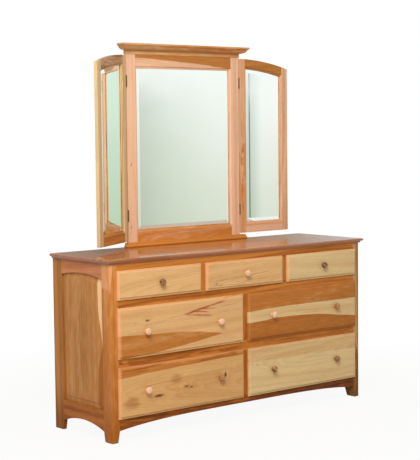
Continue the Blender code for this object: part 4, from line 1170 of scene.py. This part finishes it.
@dataclass
class MirrorFrame:
    """One mirrored frame: its outer edges and window, its depth and how its flat points are placed."""
    outer: tuple
    window: tuple
    base: float
    window_base: float
    head: object
    window_head: object
    front: float
    thickness: float
    place: object

    def ring(self, inset, depth):
        """The window's outline drawn in by inset, at a depth behind the front."""
        left, right = self.window
        outline = arched(left + inset, right - inset, self.window_base + inset,
                         lambda u: self.window_head(u) - inset)
        return [self.place(u, v, self.front + depth) for u, v in outline]

    def cutter(self, steps=8):
        """What the window, its rounded edge and the glass's rabbet take out of the frame."""
        own = sizes()
        width, depth, step_in = own.sticking_width, own.sticking_depth, 0.0007
        stations = [(-width, -depth), (-width, step_in)]
        stations += [(-width * math.cos(turn), step_in + (depth - step_in) * math.sin(turn))
                     for turn in spaced(0.0, math.pi / 2, steps)[1:]]
        stations += [(0.0, own.lip_depth), (-own.glass_rabbet, own.lip_depth),
                     (-own.glass_rabbet, 2 * self.thickness)]
        return lofted([self.ring(inset, y) for inset, y in stations])

    def outlines(self):
        """Flat outlines of the two stiles and two rails, which meet at a mitre in the rounded edge."""
        own = sizes()
        edge, gap, into = own.sticking_width, own.joint_gap, 0.0006
        base, head, window_head = self.window_base, self.head, self.window_head
        left, right = self.window
        made = {}
        for name, outer, inner, way in (("left", self.outer[0], left, 1),
                                        ("right", self.outer[1], right, -1)):
            shoulder, lap = inner - way * edge, inner + way * into
            made[name] = [(outer, self.base), (shoulder, self.base), (shoulder, base - edge),
                          (lap, base + into), (lap, window_head(inner) - into),
                          (shoulder, window_head(shoulder) + edge)]
            made[name] += [(u, head(u)) for u in spaced(shoulder, outer, 6)]
        first, last = left - edge + gap, right + edge - gap
        left_lap, right_lap = left + into, right - into
        made["base"] = [(first, self.base), (last, self.base), (last, base - edge - gap),
                        (right_lap, base - gap), (right_lap, base + into), (left_lap, base + into),
                        (left_lap, base - gap), (first, base - edge - gap)]
        made["head"] = [(first, window_head(first) + edge + gap), (left_lap, window_head(left) + gap)]
        made["head"] += [(u, window_head(u) - into) for u in spaced(left_lap, right_lap, 24)]
        made["head"] += [(right_lap, window_head(right) + gap), (last, window_head(last) + edge + gap)]
        made["head"] += [(u, head(u)) for u in spaced(last, first, 24)]
        return made

    def member(self, name, outline):
        flat = slab(outline, self.front, self.front + self.thickness, self.place)
        bmesh.ops.recalc_face_normals(flat, faces=flat.faces)
        return eased_mesh(carved(flat, self.cutter(), name), name, sizes().edge_ease * 0.6, 50.0)

    def glass(self, name):
        own = sizes()
        field, edge, chamfer = own.lip_depth + FIT, FIT - own.glass_rabbet, 0.0003
        back = field + GLASS_THICKNESS
        rings = [self.ring(edge, back), self.ring(edge, back - own.glass_edge + chamfer),
                 self.ring(edge + chamfer, back - own.glass_edge), self.ring(edge + own.glass_bevel, field)]
        return settle(lofted(rings), name, 2.0)

    def backing(self, name):
        own = sizes()
        edge = 2 * FIT - own.glass_rabbet
        rings = [self.ring(edge, own.lip_depth + 2 * FIT + GLASS_THICKNESS),
                 self.ring(edge, self.thickness - own.backing_inset)]
        return eased_mesh(lofted(rings), name, 0.0004)


def centre_frame():
    own = sizes()
    inner = STILE_BOX[0].x
    return MirrorFrame(
        outer=(-MIRROR_SIDE, MIRROR_SIDE), window=(-inner, inner), base=MIRROR_BASE,
        window_base=CENTRE_GLASS[0].z + own.glass_rabbet - FIT, head=straight_head(STILE_BOX[1].z),
        window_head=straight_head(CENTRE_GLASS[1].z - own.glass_rabbet + FIT), front=MIRROR_FRONT,
        thickness=CASE_BACK - MIRROR_FRONT, place=lambda u, v, depth: Vector((u, depth, v)))


def wing_frame(side):
    """A wing in its own flat measure, u running out from its hinged edge."""
    own = sizes()
    start = own.wing_gap / 2
    edge = HINGE_PLACE.x + start
    rabbet = own.glass_rabbet - FIT
    top, arc = WING_BOX[1].z, own.wing_arc
    window = (WING_GLASS[0].x + rabbet - edge, WING_GLASS[1].x - rabbet - edge)
    drop = arc_head(top, arc)(window[0] - rabbet) - (WING_GLASS[1].z - rabbet)
    front = WING_GLASS[0].y - own.lip_depth - FIT - HINGE_PLACE.y
    return MirrorFrame(
        outer=(0.0, WING_BOX[1].x - edge), window=window, base=WING_BOX[0].z,
        window_base=WING_GLASS[0].z + rabbet, head=arc_head(top, arc),
        window_head=arc_head(top - drop, arc - drop), front=front,
        thickness=WING_BOX[1].y - HINGE_PLACE.y - front,
        place=lambda u, v, depth: swung(side, (side * (start + u), depth, v)))


def make_mirror(mirror, body, label, glass_node, members):
    """The four members of a mirror, (outline, name, finish, nodes), then its glass and backing board."""
    outlines = mirror.outlines()
    for part, name, finish, nodes in members:
        add_piece(name, mirror.member(name, outlines[part]), finish, body, "frame", *nodes)
    add_piece(label + "_glass", mirror.glass(label + "_glass"), "glass", body, "glass", glass_node)
    add_piece(label + "_backing", mirror.backing(label + "_backing"), "backing_ply", body, "back")


def make_centre_mirror():
    make_mirror(centre_frame(), "case", "centre", "mirror_glass_centre", (
        ("left", "mirror_stile_left_moulded", "stile_left", ["mirror_stile_left"]),
        ("right", "mirror_stile_right_moulded", "stile_right", ["mirror_stile_right"]),
        ("head", "mirror_top_rail_moulded", "mirror_rail_top", ["mirror_top_rail"]),
        ("base", "mirror_bottom_rail_moulded", "mirror_rail_bottom", ["mirror_bottom_rail"])))


def make_wings():
    for side, label in SIDES:
        wing = "wing_" + label
        make_mirror(wing_frame(side), wing, wing, "wing_glass_" + label, (
            ("left", wing + "_hinge_stile", wing + "_inner", ["wing_frame_" + label]),
            ("right", wing + "_outer_stile", wing + "_stile", []),
            ("base", wing + "_bottom_rail", wing + "_base", []),
            ("head", wing + "_top_rail", wing + "_head", [])))


# Crown and base moulding
# The crown's side view from its foot up: a plain frieze, an ogee and a fillet, as (height, overhang) shares
CROWN_PROFILE = ((0.0, 0.04), (0.02, 0.055), (0.05, 0.06), (0.36, 0.06), (0.375, 0.075), (0.38, 0.13),
                 (0.39, 0.21), (0.41, 0.32), (0.44, 0.44), (0.48, 0.55), (0.53, 0.64), (0.59, 0.71),
                 (0.65, 0.76), (0.71, 0.81), (0.77, 0.87), (0.82, 0.945), (0.83, 0.99), (0.84, 1.0),
                 (0.985, 1.0), (1.0, 0.985))


def base_profile(steps=14):
    """The base's side view in the same shares: a rounded nose below and an upright above."""
    nose = [(0.25 * (1 - math.cos(turn)), 0.90 + 0.10 * math.sin(turn))
            for turn in spaced(0.0, math.pi, steps)]
    return nose + [(0.52, 0.855), (0.56, 0.84), (0.94, 0.84), (0.985, 0.83), (1.0, 0.80)]


def make_mouldings():
    for name, node, finish, profile, back in (
            ("crown_moulded", "mirror_crown", "crown_hickory", CROWN_PROFILE, CASE_BACK),
            ("base_moulded", "mirror_base_moulding", "base_hickory", base_profile(), MIRROR_FRONT - FIT)):
        low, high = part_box(node)
        section = [(up * (high.z - low.z), out * (high.x - MIRROR_SIDE)) for up, out in profile]
        mesh = moulded(name, section, low.z, MIRROR_SIDE, MIRROR_FRONT, back, 28.0)
        add_piece(name, mesh, finish, "case", "frame", node)


# Hinges
LEAF = 0.001
KNUCKLE_GAP = 0.0004
PIN_SHARE = 0.62
PIN_RISE = 0.0008
PIN_DEPTH = 0.001
NICK = 0.0001
LEAF_SEAT = KNUCKLE + 2 * FIT


def tube(radius, low, high, x, y, facets=32, ease=0.0003):
    """Rings of a rod with eased ends."""
    levels = ((radius - ease, low), (radius, low + ease), (radius, high - ease), (radius - ease, high))
    turns = spaced(0.0, math.tau, facets)[:-1]
    return [[(x + r * math.cos(turn), y + r * math.sin(turn), z) for turn in turns] for r, z in levels]


def merged(works, name):
    """Several closed solids in one mesh."""
    whole = bmesh.new()
    for work in works:
        part = settle(work, "part")
        whole.from_mesh(part)
        bpy.data.meshes.remove(part)
    return settle(whole, name)


def fixed_half(side, low, high):
    """What stays with the centre frame: two knuckles, the ends of the pin, the leaf and its two necks."""
    x, y = side * HINGE_PLACE.x, HINGE_PLACE.y
    third = (high.z - low.z) / 3
    bands = ((low.z, low.z + third - KNUCKLE_GAP / 2), (high.z - third + KNUCKLE_GAP / 2, high.z))
    works = [lofted(tube(KNUCKLE, base, head, x, y)) for base, head in bands]
    for base, head in ((low.z - PIN_RISE, low.z + PIN_DEPTH), (high.z - PIN_DEPTH, high.z + PIN_RISE)):
        works.append(lofted(tube(KNUCKLE * PIN_SHARE, base, head, x, y, 24)))
    left, right = sorted(side * (MIRROR_SIDE + FIT + depth) for depth in (0.0, LEAF))
    near = y + KNUCKLE + FIT
    works.append(slab(rectangle(left, right, near, high.y), low.z, high.z))
    for base, head in bands:
        works.append(slab(rectangle(left + NICK, right - NICK, y, near + LEAF), base + NICK, head - NICK))
    return works


def moving_half(side, low, high, length):
    """What turns with the wing: the middle knuckle, the leaf and its neck."""
    third, middle, start = (high.z - low.z) / 3, (low.z + high.z) / 2, sizes().wing_gap / 2
    base, head = middle - third / 2, middle + third / 2
    knuckle = tube(KNUCKLE, base + KNUCKLE_GAP / 2, head - KNUCKLE_GAP / 2, 0.0, 0.0)
    works = [lofted([[swung(side, point) for point in ring] for ring in knuckle])]
    left, right = sorted((side * (start - LEAF), side * (start - NICK)))
    for near, far, bottom, top in ((LEAF_SEAT, LEAF_SEAT + length, low.z, high.z),
                                   (0.0, KNUCKLE + LEAF, base + KNUCKLE_GAP, head - KNUCKLE_GAP)):
        works.append(slab(rectangle(left, right, near, far), bottom, top,
                          lambda u, v, depth: swung(side, (u, v, depth))))
    return works


def make_hinges():
    """Butt hinges: two knuckles and the pin stay with the centre frame, the third with the wing."""
    start = sizes().wing_gap / 2
    near = HINGE_PLACE.y + KNUCKLE + FIT
    for side, label in SIDES:
        wing = "wing_" + label
        across, swing = side * math.pi / 2, LEFT_SWING if side < 0 else 0.0
        for level in ("upper", "lower"):
            fixed, moving = f"hinge_{label}_{level}", f"{wing}_hinge_{level}"
            low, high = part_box(fixed)
            length = high.y - near
            mesh = merged(fixed_half(side, low, high), fixed + "_turned")
            add_piece(fixed + "_turned", mesh, "brass", "case", "hinge", fixed)
            add_piece(moving, merged(moving_half(side, low, high, length), moving), "brass", wing, "hinge")
            heights = [low.z + (high.z - low.z) / 3 * (step + 0.5) for step in range(3)]
            on_case = (side * (MIRROR_SIDE + FIT + LEAF), near + length / 2)
            on_wing = (side * (start - LEAF), LEAF_SEAT + length / 2)
            for name, body, seats in (
                    (fixed, "case", [((*on_case, z), across) for z in heights]),
                    (moving, wing, [(swung(side, (*on_wing, z)), swing - across) for z in heights])):
                add_screws(name + "_screws", body, seats, "brass", 0.5, sizes().joint_gap)


# Screws
def make_screws():
    """Screws round the back panel, under the mirror and up both sides of each backing board."""
    rim, foot = 0.008, 0.012
    low, high = BACK_PANEL
    spots = [(x, z) for x in (low.x + rim / 2, high.x - rim / 2)
             for z in spaced(low.z + rim, high.z - rim, 5)]
    spots += [(x, z) for z in (low.z + foot, high.z - rim) for x in spaced(low.x, high.x, 8)[1:-1]]
    add_screws("panel_screws", "case", [((x, CASE_BACK, z), math.pi) for x, z in spots])

    inset, levels = 0.035, (0.02, 0.06)
    spots = [(x, MIRROR_BASE + up) for x in (inset - MIRROR_SIDE, MIRROR_SIDE - inset) for up in levels]
    add_screws("mirror_screws", "case", [((x, CASE_BACK, z), math.pi) for x, z in spots])

    for body, flat, swing in (("case", centre_frame(), 0.0), ("wing_left", wing_frame(-1), LEFT_SWING),
                              ("wing_right", wing_frame(1), 0.0)):
        left, right = flat.window
        depth = flat.front + flat.thickness - sizes().backing_inset
        base, height = flat.window_base, flat.window_head(right) - flat.window_base
        seats = [(flat.place(u, base + height * share, depth), math.pi + swing)
                 for share in spaced(0.1, 0.9, 4) for u in (left, right)]
        add_screws(body + "_backing_screws", body, seats, share=0.7)


# Painted reflections for the mirrors and the gloss, as if round the dresser: compass angle in degrees and
# colour
SURROUNDINGS = ((-62.0, (0.92, 0.94, 0.91)), (-53.8, (0.64, 0.69, 0.63)), (-52.2, (0.83, 0.87, 0.82)),
                (-50.4, (0.95, 0.97, 0.94)), (-47.8, (1.0, 1.0, 1.0)), (-24.0, (1.0, 1.0, 1.0)),
                (-12.0, (0.73, 0.88, 0.76)), (-4.0, (0.80, 0.93, 0.83)), (6.0, (1.0, 1.0, 1.0)),
                (40.0, (0.90, 0.92, 0.92)), (43.5, (0.68, 0.74, 0.72)), (47.0, (0.42, 0.38, 0.31)),
                (50.0, (0.32, 0.24, 0.17)), (54.0, (0.26, 0.20, 0.15)), (58.0, (0.38, 0.42, 0.38)),
                (70.0, (0.9, 0.9, 0.88)), (95.0, (1.0, 1.0, 1.0)))
POST_AT = -48.65
COMPASS_FROM, COMPASS_TO = -70.0, 100.0
WHITE = (1.0, 1.0, 1.0)

# The photograph's viewpoint, solved from the dresser's edges in it: place, angles in degrees and lens
VIEW_PLACE = (-4.5389, -5.4400, 1.5466)
VIEW_YAW, VIEW_PITCH, VIEW_ROLL = 39.590, 4.4227, -0.6036
VIEW_LENS, VIEW_SENSOR = 102.38, 36.0

# The large soft lamp: its place, what it is turned to, its width and height
WINDOW = ((-2.8, -3.0, 3.9), (0.0, 0.0, 1.1), 2.0, 1.6)


# Stage
def make_camera():
    yaw, pitch, roll = (math.radians(angle) for angle in (VIEW_YAW, VIEW_PITCH, VIEW_ROLL))
    ahead = Vector((math.sin(yaw) * math.cos(pitch), math.cos(yaw) * math.cos(pitch), -math.sin(pitch)))
    flat_right = ahead.cross(Vector((0.0, 0.0, 1.0))).normalized()
    flat_up = flat_right.cross(ahead)
    right = math.cos(roll) * flat_right + math.sin(roll) * flat_up
    up = math.cos(roll) * flat_up - math.sin(roll) * flat_right
    lens = bpy.data.cameras.new("photograph")
    lens.sensor_width = VIEW_SENSOR
    lens.lens = VIEW_LENS
    lens.clip_end = 100.0
    camera = linked("photograph", lens)
    camera.matrix_world = Matrix.Translation(VIEW_PLACE) @ Matrix((right, up, -ahead)).transposed().to_4x4()
    bpy.context.scene.camera = camera


def lamp(name, place, target, width, height, power):
    light = bpy.data.lights.new(name, "AREA")
    light.shape = "RECTANGLE"
    light.size = width
    light.size_y = height
    light.energy = power
    aim = Vector(target) - Vector(place)
    turn = aim.to_track_quat("-Z", "Y").to_matrix().to_4x4()
    linked(name, light).matrix_world = Matrix.Translation(place) @ turn


def seen_in_glass(graph):
    """1 for what a mirror or clear glass shows."""
    path = graph.node("ShaderNodeLightPath", output="Is Glossy Ray")
    return path.most(path.other("Is Transmission Ray"))


def seen_directly(graph):
    """1 for what the camera, a mirror or clear glass shows, 0 for light that falls on the dresser."""
    return graph.node("ShaderNodeLightPath", output="Is Camera Ray").most(seen_in_glass(graph))


def surroundings(graph, direction):
    """Painted reflections: pale studio walls, darker low down, lit at the top, one dark post with painted
    shade beside it, and a brown wall behind.
    """
    east, north, up = graph.parts(direction)
    compass = graph.maths("ARCTAN2", north, east) * (180.0 / math.pi)
    span = COMPASS_TO - COMPASS_FROM
    ramp = graph.node("ShaderNodeValToRGB", None, {"Fac": (compass - COMPASS_FROM) * (1.0 / span)})
    stops = ramp.socket.node.color_ramp.elements
    while len(stops) < len(SURROUNDINGS):
        stops.new(0.5)
    for stop, (angle, _) in zip(stops, SURROUNDINGS):
        stop.position = (angle - COMPASS_FROM) / span
    for stop, (_, colour) in zip(stops, SURROUNDINGS):
        stop.color = (*colour, 1.0)
    # A grey-green band of painted shade beside the post
    post_shade = graph.rise(compass, POST_AT - 0.04, POST_AT) * graph.rise(compass, POST_AT + 0.62, POST_AT)
    post = graph.rise(abs(compass - POST_AT), 0.05, 0.01)
    walls = graph.mix(post * 0.8, graph.mix(post_shade * 0.5, ramp, (0.42, 0.54, 0.47)), (0.06, 0.10, 0.08))
    level = up + (graph.noise(direction * (14.0, 14.0, 22.0)) - 0.5) * 0.06
    low = graph.rise(level, 0.035, -0.080)
    high = graph.rise(level, 0.022, 0.050) * graph.rise(compass, -43.0, -50.0) * 0.8
    return graph.mix(high, graph.mix(low, walls, walls * (0.83, 0.85, 0.79)), WHITE)


def make_sky(strength):
    """Even light from above, and the surroundings for the mirrors."""
    world = bpy.data.worlds.new("studio")
    world.use_nodes = True
    bpy.context.scene.world = world
    graph = Graph(world.node_tree)
    background = world.node_tree.nodes["Background"]
    direction = graph.node("ShaderNodeTexCoord", output="Generated")
    graph.feed(background.inputs["Color"],
               graph.mix(seen_in_glass(graph), WHITE, surroundings(graph, direction)))
    soft = strength * (0.58 + graph.rise(graph.parts(direction)[2], -0.1, 0.9) * 0.70)
    graph.feed(background.inputs["Strength"], soft + seen_directly(graph) * (1.0 - soft))


def make_floor(half):
    """A pale floor that looks white where it is lit and still takes the dresser's shadow."""
    material, graph, shader = new_material("studio_floor")
    place = graph.place()
    pale = colours().floor
    mottle = graph.noise(place, scale=3.0)
    paint = graph.mix(mottle * 0.04, pale, tuple(0.97 * part for part in pale))
    set_shader(graph, shader, {"Base Color": paint, "Roughness": 0.8 + mottle * 0.1})
    glow = graph.node("ShaderNodeEmission", None, {"Color": WHITE, "Strength": 1.0})
    away = graph.node("ShaderNodeVectorMath", {"operation": "LENGTH"}, {0: place}, "Value")
    white = 0.93 + graph.rise(away, 1.0, 3.0) * 0.07
    blend = graph.node("ShaderNodeMixShader", None,
                       {0: seen_directly(graph) * white, 1: Wire(graph, shader.outputs[0]), 2: glow})
    graph.feed(material.node_tree.nodes["Material Output"].inputs["Surface"], blend)
    work = bmesh.new()
    bmesh.ops.create_circle(work, cap_ends=True, radius=half, segments=96)
    mesh = bpy.data.meshes.new("studio_floor")
    work.to_mesh(mesh)
    work.free()
    mesh.materials.append(material)
    linked("studio_floor", mesh)


def make_stage():
    own = bpy.context.scene.dresser_stage
    make_camera()
    make_sky(own.sky)
    make_floor(own.floor_size)
    lamp("window", *WINDOW, own.window)
    bpy.context.scene.view_settings.view_transform = "Standard"


# Operators, one for each piece or group of like pieces
class DresserOperator:
    """What every step of the dressing shares."""
    bl_options = {"REGISTER", "UNDO"}
    steps = ()

    def execute(self, context):
        for step in self.steps:
            step()
        return {"FINISHED"}


class DRESSER_OT_finishes(DresserOperator, bpy.types.Operator):
    """Make the woods, glass and metals"""
    bl_idname = "dresser.finishes"
    bl_label = "Finishes"
    steps = (make_finishes,)


class DRESSER_OT_top(DresserOperator, bpy.types.Operator):
    """Make the top board with its moulded edge"""
    bl_idname = "dresser.top"
    bl_label = "Top board"
    steps = (make_top,)


class DRESSER_OT_case(DresserOperator, bpy.types.Operator):
    """Make the posts, rails, panels, dividers and drawer frames"""
    bl_idname = "dresser.case"
    bl_label = "Case"
    steps = (make_case,)


class DRESSER_OT_apron(DresserOperator, bpy.types.Operator):
    """Make the arched board under the drawers"""
    bl_idname = "dresser.apron"
    bl_label = "Apron"
    steps = (make_apron,)


class DRESSER_OT_back(DresserOperator, bpy.types.Operator):
    """Make the back panel and its screws"""
    bl_idname = "dresser.back"
    bl_label = "Back"
    steps = (make_back, make_screws)


class DRESSER_OT_drawers(DresserOperator, bpy.types.Operator):
    """Make the drawer fronts, boxes and their dovetails"""
    bl_idname = "dresser.drawers"
    bl_label = "Drawers"
    steps = (make_drawers, make_dovetails)


class DRESSER_OT_knobs(DresserOperator, bpy.types.Operator):
    """Make the turned knobs"""
    bl_idname = "dresser.knobs"
    bl_label = "Knobs"
    steps = (make_knobs,)


class DRESSER_OT_mirror(DresserOperator, bpy.types.Operator):
    """Make the centre mirror with its frame, glass and backing"""
    bl_idname = "dresser.mirror"
    bl_label = "Centre mirror"
    steps = (make_centre_mirror,)


class DRESSER_OT_mouldings(DresserOperator, bpy.types.Operator):
    """Make the crown and the base moulding"""
    bl_idname = "dresser.mouldings"
    bl_label = "Crown and base"
    steps = (make_mouldings,)


class DRESSER_OT_wings(DresserOperator, bpy.types.Operator):
    """Make the two mirrored wings"""
    bl_idname = "dresser.wings"
    bl_label = "Wings"
    steps = (make_wings,)


class DRESSER_OT_hinges(DresserOperator, bpy.types.Operator):
    """Make the hinges between the centre and the wings"""
    bl_idname = "dresser.hinges"
    bl_label = "Hinges"
    steps = (make_hinges,)


class DRESSER_OT_stage(DresserOperator, bpy.types.Operator):
    """Set the camera, the light and the floor"""
    bl_idname = "dresser.stage"
    bl_label = "Stage"
    steps = (make_stage,)


OPERATORS = (DRESSER_OT_finishes, DRESSER_OT_top, DRESSER_OT_case, DRESSER_OT_apron, DRESSER_OT_back,
             DRESSER_OT_drawers, DRESSER_OT_knobs, DRESSER_OT_mirror, DRESSER_OT_mouldings,
             DRESSER_OT_wings, DRESSER_OT_hinges, DRESSER_OT_stage)


class DRESSER_PT_panel(bpy.types.Panel):
    """Sizes, colours and steps of the dresser"""
    bl_idname = "DRESSER_PT_panel"
    bl_label = "Dresser"
    bl_space_type = "VIEW_3D"
    bl_region_type = "UI"
    bl_category = "Dresser"

    def draw(self, context):
        layout = self.layout
        for operator in OPERATORS:
            layout.operator(operator.bl_idname)
        for group in (context.scene.dresser_sizes, context.scene.dresser_colours,
                      context.scene.dresser_stage):
            box = layout.box()
            for name in group.__annotations__:
                box.prop(group, name)


CLASSES = (DresserSizes, DresserColours, DresserStage, *OPERATORS, DRESSER_PT_panel)


def register():
    for one in CLASSES:
        bpy.utils.register_class(one)
    bpy.types.Scene.dresser_sizes = PointerProperty(type=DresserSizes)
    bpy.types.Scene.dresser_colours = PointerProperty(type=DresserColours)
    bpy.types.Scene.dresser_stage = PointerProperty(type=DresserStage)


def unregister():
    del bpy.types.Scene.dresser_stage
    del bpy.types.Scene.dresser_colours
    del bpy.types.Scene.dresser_sizes
    for one in reversed(CLASSES):
        bpy.utils.unregister_class(one)


def main():
    register()
    for operator in OPERATORS:
        group, name = operator.bl_idname.split(".")
        getattr(getattr(bpy.ops, group), name)()


if __name__ == "__main__":
    main()
